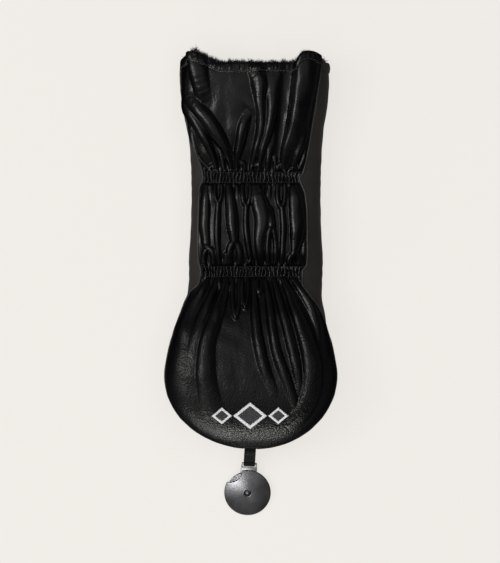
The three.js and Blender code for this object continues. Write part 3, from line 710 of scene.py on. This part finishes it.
# The seam allowance turns in where the two back panels meet.
tuck = -1.1 * np.exp(-((U - CROSS_SEAM_Y) / 0.9))
points = back_surface(U, T, np.maximum(tuck, -1.2))
back = grid_piece("back_sleeve", points, BACK_CLOTH)
stands_for("back_sleeve_panel")

U, T = sheet_grid(np.linspace(CROSS_SEAM_Y - 0.2, TIP_U, 130), 170)
tuck = -1.1 * np.exp((U - CROSS_SEAM_Y) / 0.9)
points = back_surface(U, T, np.maximum(tuck, -1.2))
crown_back = grid_piece("back_crown", points, LEATHER)
stands_for("back_crown_panel")

# ------------------------------------------------------------------ seams
for side in ("left", "right"):
    u = np.linspace(MOUTH_Y + 0.6, TIP_U, 420)
    phi = seam_phi(side, u)
    normal = skin_normal(u, phi)
    wobble = 0.06 * waves(u, u * 0, 41, 9)
    points = skin(u, phi) + normal * (0.1 + wobble)[:, None]
    outside = np.abs(points[:, 0] - (-0.6)) > 5.9
    keep = outside | (points[:, 1] > -140)
    soup = Soup()
    soup.add(*tubes(points[keep], 1.0, 12, normal[keep]))
    piping = soup.object(f"{side}_piping", CORD_LEATHER_PAINTED_HIGHLIGHT)
    stands_for(f"{side}_seam_piping")


def seam_row(name, node, surface, u_at, low, high, spacing, long, radius, lift=0.1):
    """A row of separate stitches across the cover."""
    t = np.linspace(low, high, 1500)
    line = surface(np.full_like(t, u_at), t)
    length = np.append(0, np.cumsum(np.linalg.norm(np.diff(line, axis=0), axis=1)))
    soup = Soup()
    at = np.arange(0.4, length[-1] - long, spacing)
    ends = np.interp(np.stack([at, at + long]), length, t)
    a, b = surface(np.full_like(ends, u_at), ends, lift)
    raised = surface(np.full_like(ends, u_at), ends, lift + 1)[0]
    stitches(soup, a, b, unit(raised - a), radius)
    obj = soup.object(name, THREAD)
    stands_for(node)


for word, y_at in (("upper", UPPER_GATHER_Y), ("lower", LOWER_GATHER_Y)):
    for row, way in (("top", 1), ("bottom", -1)):
        seam_row(f"{word}_gather_{row}_row", f"{word}_gather_stitching_{row}", front_surface,
                 y_at + way * ELASTIC_WIDTH / 2, 0.02, 0.98, 2.1, 1.5, 0.26)
seam_row("cross_seam_row", "cross_seam_stitching", back_surface, CROSS_SEAM_Y + 2.5,
         0.01, 0.99, 3.2, 2.5, 0.3)

# ------------------------------------------------------------------ hems at the mouth
def hem(side, surface, material, node):
    """A strip folded over the edge: its stations run up the outside, over, and down the inside."""
    outer = [(-HEM_DEPTH, 0.15), (-HEM_DEPTH + 0.25, 0.75), (-HEM_DEPTH + 1.2, 0.95),
             (-5.2, 1.2), (-3.8, 1.35), (-2.2, 1.35), (-0.8, 1.3), (0.3, 1.15), (1.0, 0.6),
             (1.2, -0.4), (1.2, -1.6), (0.8, -2.4), (-0.2, -2.9), (-2, -3), (-5, -3), (-HEM_DEPTH, -2.9)]
    t = np.linspace(0.003, 0.997, 620)
    x = skin(np.full_like(t, MOUTH_Y), phi_at(side, MOUTH_Y, t))[..., 0]
    ripple = 0.35 * waves(x, x * 0, 51, 7) + 0.25 * waves(x, x * 0, 52, 3.2)
    rows = []
    for v, height in outer:
        swell = ripple * math.exp(-(((v + 2.8) / 2.6) ** 2)) if height > 0 else 0 * ripple
        nip = -0.45 * math.exp(-(((v + HEM_DEPTH - 1.2) / 0.5) ** 2)) * (height > 0)
        lift = height + swell + nip
        rows.append(surface(np.full_like(t, MOUTH_Y + min(v, 0.3)), t, lift)
                    + np.array([0, max(v - 0.3, 0), 0]) + np.stack([0 * t, 0.25 * ripple, 0 * t], -1))
    obj = grid_piece(f"{side}_mouth_hem", np.array(rows), material, flip=True)
    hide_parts(node)
    seam_row(f"{side}_hem_row", f"{side}_hem_stitching", surface, MOUTH_Y - HEM_DEPTH + 1.2,
             0.006, 0.994, 3.0, 2.3, 0.3, lift=0.75)
    return obj


hem("front", front_surface, LEATHER, "front_hem")
hem("back", back_surface, BACK_CLOTH, "back_hem")

# ------------------------------------------------------------------ padding and lining
lining_depth = profile([
    (-9, PANEL + ELASTIC_THICKNESS + 2 * GAP), (-25, PANEL + PADDING + 2 * GAP)])


def layer_surface(side, u, t, depth):
    phi = phi_at(side, u, 0.008 + 0.984 * t)
    return skin(u, phi) - skin_normal(u, phi) * np.asarray(depth)[..., None]


def closed_shell(name, outer, inner, material):
    """Two grids of points joined round their edge."""
    rows, columns = outer.shape[:2]
    n = rows * columns
    index = np.arange(n).reshape(rows, columns)
    rim = np.concatenate([index[0, :-1], index[:-1, -1], index[-1, :0:-1], index[:0:-1, 0]])
    after = np.roll(rim, -1)
    faces = [grid_faces(rows, columns), grid_faces(rows, columns, n, flip=True),
             np.stack([after, rim, rim + n, after + n], -1)]
    return mesh_object(name, np.concatenate([outer.reshape(-1, 3), inner.reshape(-1, 3)]),
                       faces, material)


for side in ("front", "back"):
    U, T = sheet_grid(np.linspace(FOAM_TOP_Y, FOAM_LOW_Y, 60), 70, edge=0)
    # The foam is cut thinner towards its edges.
    edge = np.minimum(np.minimum(T, 1 - T) * 9, np.minimum(FOAM_TOP_Y - U, U - FOAM_LOW_Y) / 6)
    full = np.sqrt(np.clip(edge, 0, 1))
    top = layer_surface(side, U, T, PANEL + GAP + 0.1 + 0 * U)
    low = layer_surface(side, U, T, PANEL + GAP + 0.3 + (PADDING - 0.4) * full)
    foam = closed_shell(f"{side}_foam", top, low, FOAM)
    stands_for(f"{side}_padding")

    U, T = sheet_grid(np.linspace(LINING_TOP_Y, LINING_LOW_Y, 230), 130, edge=0)
    depth = lining_depth(U)
    flat = layer_surface(side, U, T, depth)
    pile = (0.5 * waves(flat[..., 0] + flat[..., 2], flat[..., 1], 61, 9)
            + 0.35 * waves(flat[..., 0] - flat[..., 2], flat[..., 1], 62, 3.5))
    round_off = np.sqrt(np.clip((LINING_TOP_Y - U) / 2.2, 0, 1))
    inner = layer_surface(side, U, T, depth + 0.2 + (LINING - 0.7 + pile) * round_off)
    lining = closed_shell(f"{side}_plush", flat, inner, PLUSH)
    stands_for(f"{side}_lining")


def fur(name, count, u_low, u_high, length, out_y, seed):
    """Short bent hairs standing on the lining."""
    rng = np.random.default_rng(seed)
    soup = Soup()
    for side in ("front", "back"):
        n = count // 2
        u, t = rng.uniform(u_low, u_high, n), rng.uniform(0.0, 1.0, n)
        deep = LINING - 0.9 if u_low < MOUTH_Y - 4 else (LINING - 0.6) * rng.uniform(0.1, 1, n)
        root = layer_surface(side, u, t, lining_depth(u) + deep)
        inward = -skin_normal(u, phi_at(side, u, t))
        way = unit(inward * (1 - out_y) + np.array([0, out_y, 0]) + rng.normal(0, 0.45, (n, 3)))
        curl = rng.normal(0, 0.5, (n, 3)) + np.array([0, 0, -0.15])
        tufts = 1 + 0.3 * waves(root[:, 0], root[:, 2], seed + 1, 6)
        size = (length * rng.uniform(0.45, 1.1, n) * np.clip(tufts, 0.3, 1.7))[:, None]
        width = unit(np.cross(way, rng.normal(0, 1, (n, 3)))) * 0.2
        mid = root + way * size * 0.55
        tip = mid + unit(way + curl * 0.8) * size * 0.5
        block = np.stack([root - width, root + width, mid - width * 0.7, mid + width * 0.7, tip], 1)
        k = np.arange(n)[:, None] * 5
        soup.add(block, [k + np.array([0, 1, 3, 2]), k + np.array([2, 3, 4])])
    soup.object(name, FUR)


fur("mouth_fuzz", 26000, MOUTH_Y - 0.5, MOUTH_Y + 1.6, 5.0, 0.72, 71)
fur("inner_fuzz", 22000, 118, MOUTH_Y, 3.6, 0.25, 72)

# ------------------------------------------------------------------ emblem: three lozenges
EMBLEM = (-0.6, -117.0)
LOZENGES = [("middle", 0, 15, 12, 3), ("left", -25, 9, 7.5, 2.3), ("right", 25, 9, 7.5, 2.3)]


def on_front(x, y, lift):
    """The gathered front over points of the plan, raised by lift."""
    x, y = np.asarray(x, float), np.asarray(y, float)
    angle = np.arcsin(np.clip((CROWN_Y - y) / CROWN_LENGTH, 0, 1))
    u = CROWN_Y - CROWN_LENGTH * angle
    _, x0, w, *_ = section(u)
    phi = np.arccos(np.clip((x - x0) / w, -1, 1))
    base, normal = skin(u, phi), skin_normal(u, phi)
    height = front_height(base[..., 0], base[..., 1])
    return base + normal * (height + lift)[..., None], normal


def emblem_threads(name, node, material, starts, ends, lift, radius, rows=6):
    """Satin stitches over the front, one thread from each start to its end."""
    starts, ends = np.array(starts)[:, None], np.array(ends)[:, None]
    t = np.linspace(0, 1, rows)
    plan = starts + (ends - starts) * t[:, None]
    lift = (lift + RNG.uniform(-0.06, 0.06, len(plan)))[:, None] - 0.45 * np.abs(2 * t - 1) ** 6
    surface, normal = on_front(plan[..., 0], plan[..., 1], lift)
    soup = Soup()
    soup.add(*tubes(surface, radius * (1 - 0.3 * np.abs(2 * t - 1) ** 4), 6, normal, flat=0.8))
    obj = soup.object(name, material)
    stands_for(node)


for name, cx, w, h, line in LOZENGES:
    centre = np.array([EMBLEM[0] + cx, EMBLEM[1]])
    outer = np.array([[w, 0], [0, h], [-w, 0], [0, -h]], float)
    inner = np.array([[w - line * 1.35, 0], [0, h - line * 1.1], [-w + line * 1.35, 0],
                      [0, -h + line * 1.1]], float)
    starts, ends = [], []
    for k in range(4):
        a0, a1 = outer[k], outer[(k + 1) % 4]
        b0, b1 = inner[k], inner[(k + 1) % 4]
        n = int(np.linalg.norm(a1 - a0) / 0.42)
        for f in np.arange(n + 1) / n:
            starts.append(centre + a0 + (a1 - a0) * f + RNG.uniform(-0.1, 0.1, 2))
            ends.append(centre + b0 + (b1 - b0) * f + RNG.uniform(-0.1, 0.1, 2))
    emblem_threads(f"emblem_{name}_satin", f"emblem_{name}_outline", WHITE_THREAD,
                   starts, ends, 0.55, 0.27)
    fw, fh = w - line * 1.35 - 0.5, h - line * 1.1 - 0.5
    starts, ends = [], []
    for row, y in enumerate(np.arange(-fh + 0.25, fh, 0.44)):
        half = fw * (1 - abs(y) / fh)
        x, x_next = -half, -half + 3.4 * ((row * 0.37) % 1 + 0.15)
        while x < half - 0.3:
            stop = min(x_next, half)
            starts.append(centre + np.array([x, y]))
            ends.append(centre + np.array([stop, y]))
            x, x_next = stop + 0.1, stop + 3.5
    emblem_threads(f"emblem_{name}_field", f"emblem_{name}_fill", GREY_THREAD,
                   starts, ends, 0.4, 0.24, 5)

# ------------------------------------------------------------------ webbing and tag
STRAP_WIDTH, STRAP_YAW, TAG_TILT = 10.5, -0.061, 0.175
STRAP_ROOT = np.array([-0.6, -151.5, 17.6])
BAR_REACH, BAR_DROP = 12, 8.6
BAR_TO_HUB = 26.7
PLATE_T, PLATE_R, DIAL_R, BAR_R = 1.8, 19.2, 21.1, 1.0


def turn_x(p, a):
    c, s = math.cos(a), math.sin(a)
    return np.stack([p[..., 0], p[..., 1] * c - p[..., 2] * s, p[..., 1] * s + p[..., 2] * c], -1)


def turn_z(p, a):
    c, s = math.cos(a), math.sin(a)
    return np.stack([p[..., 0] * c - p[..., 1] * s, p[..., 0] * s + p[..., 1] * c, p[..., 2]], -1)


def from_strap(p):
    return turn_z(np.asarray(p, float), STRAP_YAW) + STRAP_ROOT


def from_tag(p):
    return from_strap(turn_x(np.asarray(p, float), TAG_TILT) + np.array([0, -BAR_REACH, -BAR_DROP]))


def from_hub(p):
    return from_tag(np.asarray(p, float) + np.array([0, -BAR_TO_HUB, -PLATE_T / 2]))


slope = math.atan2(BAR_DROP, BAR_REACH)
length = math.hypot(BAR_DROP, BAR_REACH)


def ribbon(path, normals, width, thick, pitch=0.62, rib=0.09):
    """Grosgrain webbing: a rounded flat section with a rib across it at every pitch."""
    path, normals = np.asarray(path, float), np.asarray(normals, float)
    step = np.append(0, np.cumsum(np.linalg.norm(np.diff(path, axis=0), axis=1)))
    at = np.linspace(0, step[-1], int(step[-1] / (pitch / 5)))
    p = np.stack([np.interp(at, step, path[:, k]) for k in range(3)], -1)
    n = unit(np.stack([np.interp(at, step, normals[:, k]) for k in range(3)], -1))
    across = np.array([1.0, 0, 0])
    half_w, half_t = width / 2, thick / 2
    shape = []
    for k in np.linspace(-1, 1, 22):
        shape.append((k * (half_w - 0.25), half_t * (1 - 0.12 * abs(k) ** 6)))
    shape.append((half_w - 0.02, 0.0))
    for k in np.linspace(1, -1, 22):
        shape.append((k * (half_w - 0.25), -half_t * (1 - 0.12 * abs(k) ** 6)))
    shape.append((-half_w + 0.02, 0.0))
    shape = np.array(shape)
    swell = rib * (0.5 + 0.5 * np.cos(2 * math.pi * at / pitch))
    edge = np.abs(shape[:, 0]) < half_w - 0.9
    thickness = shape[None, :, 1] + np.sign(shape[None, :, 1]) * swell[:, None] * edge[None]
    verts = (p[:, None] + across * shape[None, :, :1] * np.ones((len(p), 1, 1))
             + n[:, None] * thickness[..., None])
    m = len(shape)
    faces = [grid_faces(len(p), m, wrap_columns=True), np.arange(m - 1, -1, -1)[None],
             np.arange((len(p) - 1) * m, len(p) * m)[None]]
    return verts, faces


loop_r = BAR_R + 0.5 + 0.55
a0 = math.asin(0.6 / loop_r)
wrap = np.linspace(math.pi - a0, -math.pi + a0, 60)
top_run = [(0, -k, 0.6) for k in np.linspace(-0.4, length - loop_r * math.cos(a0) - 0.1, 12)]
round_run = [(0, -length + loop_r * -math.cos(w), loop_r * math.sin(w)) for w in wrap]
path = np.array(top_run + round_run + [(0, p[1], -0.6) for p in top_run[::-1]])
hub = np.array([0, -length, 0])
normals = np.array([(0, 0, 1)] * len(top_run) + [tuple(unit(np.array(p) - hub)) for p in round_run]
                   + [(0, 0, -1)] * len(top_run), float)
verts, faces = ribbon(path, normals, STRAP_WIDTH, 1.0)
loop = mesh_object("webbing_strap", from_strap(turn_x(verts, slope)), faces, WEBBING, body="webbing")
stands_for("webbing_loop")

soup = Soup()
for face in (1.15, -1.15):
    for row_y in (-2.6, -3.4):
        starts = np.array([(x, row_y - 0.3, face) for x in np.arange(-4.3, 4.2, 0.62)])
        stitches(soup, starts, starts + np.array([0.55, 0.6, 0]), (0, 0, np.sign(face)), 0.17)
soup.placed(lambda p: from_strap(turn_x(p, slope)))
tack = soup.object("webbing_tack", THREAD, body="webbing")
stands_for("webbing_stitching")

path = np.array([(0, k, 0) for k in np.linspace(0.1, 6.4, 8)])
verts, faces = ribbon(path, np.array([(0, 0, 1)] * 8, float), STRAP_WIDTH, 2.2)
anchor = mesh_object("webbing_end", from_strap(verts), faces, WEBBING)
stands_for("webbing_anchor")

# The dial: a shallow dome of revolution whose rim has a round bite.
BITE_R, BITE_AT, BITE_ANGLE = 11.6, 26.95, 2.277


def ring(theta, r, z):
    return np.stack([r * np.cos(theta), r * np.sin(theta), z + 0 * theta], -1)


def from_bite(theta):
    """The angle from the middle of the bite, from -pi to pi."""
    return (theta - BITE_ANGLE + math.pi) % (2 * math.pi) - math.pi


def rim_radius(theta, full):
    away = from_bite(theta)
    inside = BITE_R ** 2 - (BITE_AT * np.sin(away)) ** 2
    cut = BITE_AT * np.cos(away) - np.sqrt(np.maximum(inside, 0))
    return np.where((inside > 0) & (np.abs(away) < 0.6), np.minimum(full, cut), full)


def dome(r):
    return 5.2 - 2 * (r / DIAL_R) ** 2


theta = np.linspace(0, 2 * math.pi, 288, endpoint=False)
outline = []
for f in (0.0, 0.15, 0.4, 0.7, 1.0):  # down the recess to the rivet, seen from the top
    outline.append((2.0 + 0.9 * f, 3.9 + (dome(2.9) - 4.05) * f ** 3, "r"))
for f in np.linspace(0.02, 1, 46):
    outline.append((f, 0.0, "top"))
outline += [(0.20, -0.07, "rim"), (0.38, -0.2, "rim"), (0.47, -0.45, "rim"), (0.47, -0.9, "rim"),
            (0.3, -1.1, "rim"), (0.0, -1.15, "under"), (-2.5, -1.1, "under"), (-9, -1.2, "low"),
            (-17, -1.2, "low")]
rows = []
for value, drop, kind in outline:
    edge = rim_radius(theta, DIAL_R) - 0.47
    if kind == "r":
        r, z = np.full_like(theta, value), np.full_like(theta, drop)
    elif kind == "top":
        r = 2.9 + (edge - 2.9) * value
        z = dome(r) + 0.05 * np.exp(-((r - 2.9) / 0.4))
    elif kind == "rim":
        r = edge + value
        z = dome(edge) + drop
    else:
        r = np.maximum(edge + value, 3.2)
        z = dome(r) + drop
    rows.append(ring(theta, r, z))
rows = np.array(rows)
dial = mesh_object("tag_dial_face", from_hub(rows).reshape(-1, 3),
                   grid_faces(len(rows), len(theta), wrap_columns=True, flip=True), GUNMETAL, body="dial")
stands_for("tag_dial")


def lathe(soup, points, segments=64):
    theta = np.linspace(0, 2 * math.pi, segments, endpoint=False)
    r = np.array([p[0] for p in points])[:, None]
    z = np.array([p[1] for p in points])[:, None]
    soup.add(ring(theta, r, z), grid_faces(len(points), segments, wrap_columns=True))


soup = Soup()
lathe(soup, [(0.01, 0), (2.7, 0), (2.9, 0.15), (2.9, 0.4), (1.5, 0.45), (1.5, 4.15), (2.3, 4.2),
             (2.48, 4.3), (2.4, 4.45), (2.1, 4.5), (1.2, 4.5), (1.1, 4.52), (0.01, 4.53)])
seat = soup.placed(from_hub).object("rivet_seat", BLACK_METAL, body="tag")
stands_for("tag_rivet")
soup = Soup()
lathe(soup, [(1.12, 4.5), (1.08, 4.72), (0.95, 4.9), (0.7, 5.06), (0.4, 5.13), (0.01, 5.15)])
head = soup.placed(from_hub).object("rivet_head", RIVET, body="tag")

soup = Soup()
t0 = PLATE_T + GAP
lathe(soup, [(1.9, t0), (4.7, t0), (4.8, t0 + 0.1), (4.8, t0 + 0.3), (4.7, t0 + 0.4), (1.9, t0 + 0.4),
             (1.9, t0)])
washer = soup.placed(from_hub).object("spring_washer", BLACK_METAL, body="tag")
stands_for("tag_spring_washer")

# The back plate, with fine ridges where the bite shows it, and its bail.
soup = Soup()
theta = np.linspace(0, 2 * math.pi, 256, endpoint=False)
radii = [3.35, 8, 12, 14] + list(np.linspace(14.4, 18.6, 40)) + [18.95, 19.12, 19.2, 19.2, 19.05]
rows = []
for i, r in enumerate(radii):
    z = PLATE_T + 0 * theta
    if 14.2 < r < 18.7:
        away = from_bite(theta)
        shows = (smoothstep(0.62 - np.abs(away), 0, 0.1) * smoothstep(r, 14.2, 14.8)
                 * (1 - smoothstep(r, 18.2, 18.7)))
        z = z - 0.14 * shows * (0.5 + 0.5 * np.sin(r * 7.5 + 60 * away))
    elif r > 18.7:
        z = PLATE_T - {18.95: 0.05, 19.12: 0.2, 19.2: 0.45}.get(r, 0) + 0 * theta
        if i == len(radii) - 2:
            z = 0.3 + 0 * theta
        elif i == len(radii) - 1:
            z = 0.0 + 0 * theta
    rows.append(ring(theta, r, z))
for r in (12, 3.35, 3.3, 1.8, 1.8, 3.35):
    z = {12: 0, 3.35: 0, 3.3: 0.8, 1.8: 0.8}[r] + 0 * theta
    rows.append(ring(theta, r, z))
rows[-1][..., 2] = PLATE_T
soup.add(np.array(rows), grid_faces(len(rows), len(theta), wrap_columns=True, flip=True))
plate = soup.placed(from_hub).object("tag_back_plate", PLATE, body="tag")
stands_for("tag_plate")


def rounded_bar(soup, x0, x1, y0, y1, z0, z1, r=0.28, x0b=None, x1b=None):
    """A flat bar with rounded edges; its far end (y1) may be narrower."""
    x0b, x1b = x0 if x0b is None else x0b, x1 if x1b is None else x1b
    ys = [y0, y0 + r * 0.3, y0 + r, y1 - r, y1 - r * 0.3, y1]
    inset = [r, r * 0.3, 0, 0, r * 0.3, r]
    rows = []
    for y, d in zip(ys, inset):
        f = (y - y0) / (y1 - y0)
        a, b = x0 + (x0b - x0) * f + d, x1 + (x1b - x1) * f - d
        lo, hi = z0 + d, z1 - d
        corners = [(a + r, lo), (b - r, lo), (b - r * 0.3, lo + r * 0.3), (b, lo + r), (b, hi - r),
                (b - r * 0.3, hi - r * 0.3), (b - r, hi), (a + r, hi), (a + r * 0.3, hi - r * 0.3),
                (a, hi - r), (a, lo + r), (a + r * 0.3, lo + r * 0.3)]
        rows.append([(x, y, z) for x, z in corners])
    rows = np.array(rows)
    m = rows.shape[1]
    faces = [grid_faces(len(rows), m, wrap_columns=True, flip=True), np.arange(m)[None],
             np.arange(len(rows) * m - 1, (len(rows) - 1) * m - 1, -1)[None]]
    soup.add(rows, faces)


soup = Soup()
low, high = -PLATE_T / 2, PLATE_T / 2
rounded_bar(soup, -7.6, 7.6, -10.5, -3.2, low, high, x0b=-7.2, x1b=7.2)
rounded_bar(soup, -7.2, -5.9, -3.6, 0.9, low, high, x0b=-6.9)
rounded_bar(soup, 5.9, 7.2, -3.6, 0.9, low, high, x1b=6.9)
soup.add(*tubes([(x, 0, 0) for x in np.linspace(-6.5, 6.5, 14)], BAR_R, 20, (0, 0, 1)))
bail = soup.placed(from_tag).object("tag_bail", PLATE, body="tag")

# ------------------------------------------------------------------ what stays of the CAD
for name, material in (("upper_elastic", ELASTIC), ("lower_elastic", ELASTIC)):
    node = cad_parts[name]
    for slot in node.material_slots:
        slot.link = "OBJECT"
        slot.material = material

# ------------------------------------------------------------------ floor and light
floor_material, nodes, links, bsdf = new_material("floor")
where = add(nodes, "ShaderNodeTexCoord")
noise = noise_on(nodes, links, where, 3.0, 2.0)
through_ramp(nodes, links, noise.outputs["Fac"],
             [(0.3, (0.15, 0.1455, 0.139)), (0.7, (0.1522, 0.1478, 0.1411))], bsdf.inputs["Base Color"])
bsdf.inputs["Roughness"].default_value = 0.9
bsdf.inputs["Specular IOR Level"].default_value = 0.1
bsdf.inputs["Emission Color"].default_value = (0.8796, 0.855, 0.8148, 1)
bsdf.inputs["Emission Strength"].default_value = 0.822
FLOOR_HALF, FLOOR_Z = 4, -0.0002
corner = [(x * FLOOR_HALF, y * FLOOR_HALF, FLOOR_Z) for x, y in ((-1, -1), (1, -1), (1, 1), (-1, 1))]
floor = mesh_object("floor", corner, np.array([[0, 1, 2, 3]]), floor_material, body=None, mm=False)
floor.visible_glossy = False

LAMP_COLOUR = (1.0, 0.99, 0.97)


def area_light(name, location, size, power, glossy=True):
    data = bpy.data.lights.new(name, "AREA")
    data.energy, data.color = power, LAMP_COLOUR
    data.shape, data.size, data.size_y = "RECTANGLE", *size
    light = bpy.data.objects.new(name, data)
    light.location = location
    light.rotation_euler = (-Vector(location)).to_track_quat("-Z", "Y").to_euler()
    light.visible_glossy = glossy
    bpy.context.collection.objects.link(light)
    return light


area_light("key", (-1.9, 0.3, 2.35), (1.3, 0.8), 23)
# A small soft light for the tag alone, which its satin metal needs to read as domed.
tag_light = area_light("tag_light", (-0.62, -0.72, 2.5), (0.5, 0.5), 29.0)
tag_group = bpy.data.collections.new("tag_light_receivers")
for piece in (dial, plate, bail, seat, head):
    tag_group.objects.link(piece)
tag_light.light_linking.receiver_collection = tag_group
area_light("low", (-0.6, -2.8, 0.5), (1.8, 0.4), 44)
area_light("fill", (0, 0, 5), (6, 6), 214, glossy=False)

# The studio is a soft panel overhead, leaning towards the mouth, with a thin pale strip all round.
world = bpy.data.worlds.new("studio")
bpy.context.scene.world = world
world.use_nodes = True
nodes, links = world.node_tree.nodes, world.node_tree.links
way = add(nodes, "ShaderNodeTexCoord")
split = add(nodes, "ShaderNodeSeparateXYZ")
links.new(way.outputs["Generated"], split.inputs["Vector"])
sky = ramp(nodes, [(0.0, grey(0.01)), (0.02, grey(0.26)), (0.12, grey(0.18)), (0.3, grey(0.02)),
                   (0.8, grey(0.02))])
links.new(split.outputs["Z"], sky.inputs["Fac"])
overhead = add(nodes, "ShaderNodeVectorMath", operation="DOT_PRODUCT")
overhead.inputs[1].default_value = unit(np.array([-0.05, 0.2, 0.98]))
links.new(way.outputs["Generated"], overhead.inputs[0])
panel = ramp(nodes, [(0.0, grey(0)), (0.72, grey(0)), (0.84, grey(0.1)), (0.92, grey(0.29)),
                     (1.0, grey(0.37))])
links.new(overhead.outputs["Value"], panel.inputs["Fac"])
both = add(nodes, "ShaderNodeVectorMath", operation="ADD")
links.new(sky.outputs["Color"], both.inputs[0])
links.new(panel.outputs["Color"], both.inputs[1])
links.new(both.outputs["Vector"], nodes["Background"].inputs["Color"])
nodes["Background"].inputs["Strength"].default_value = 1.0
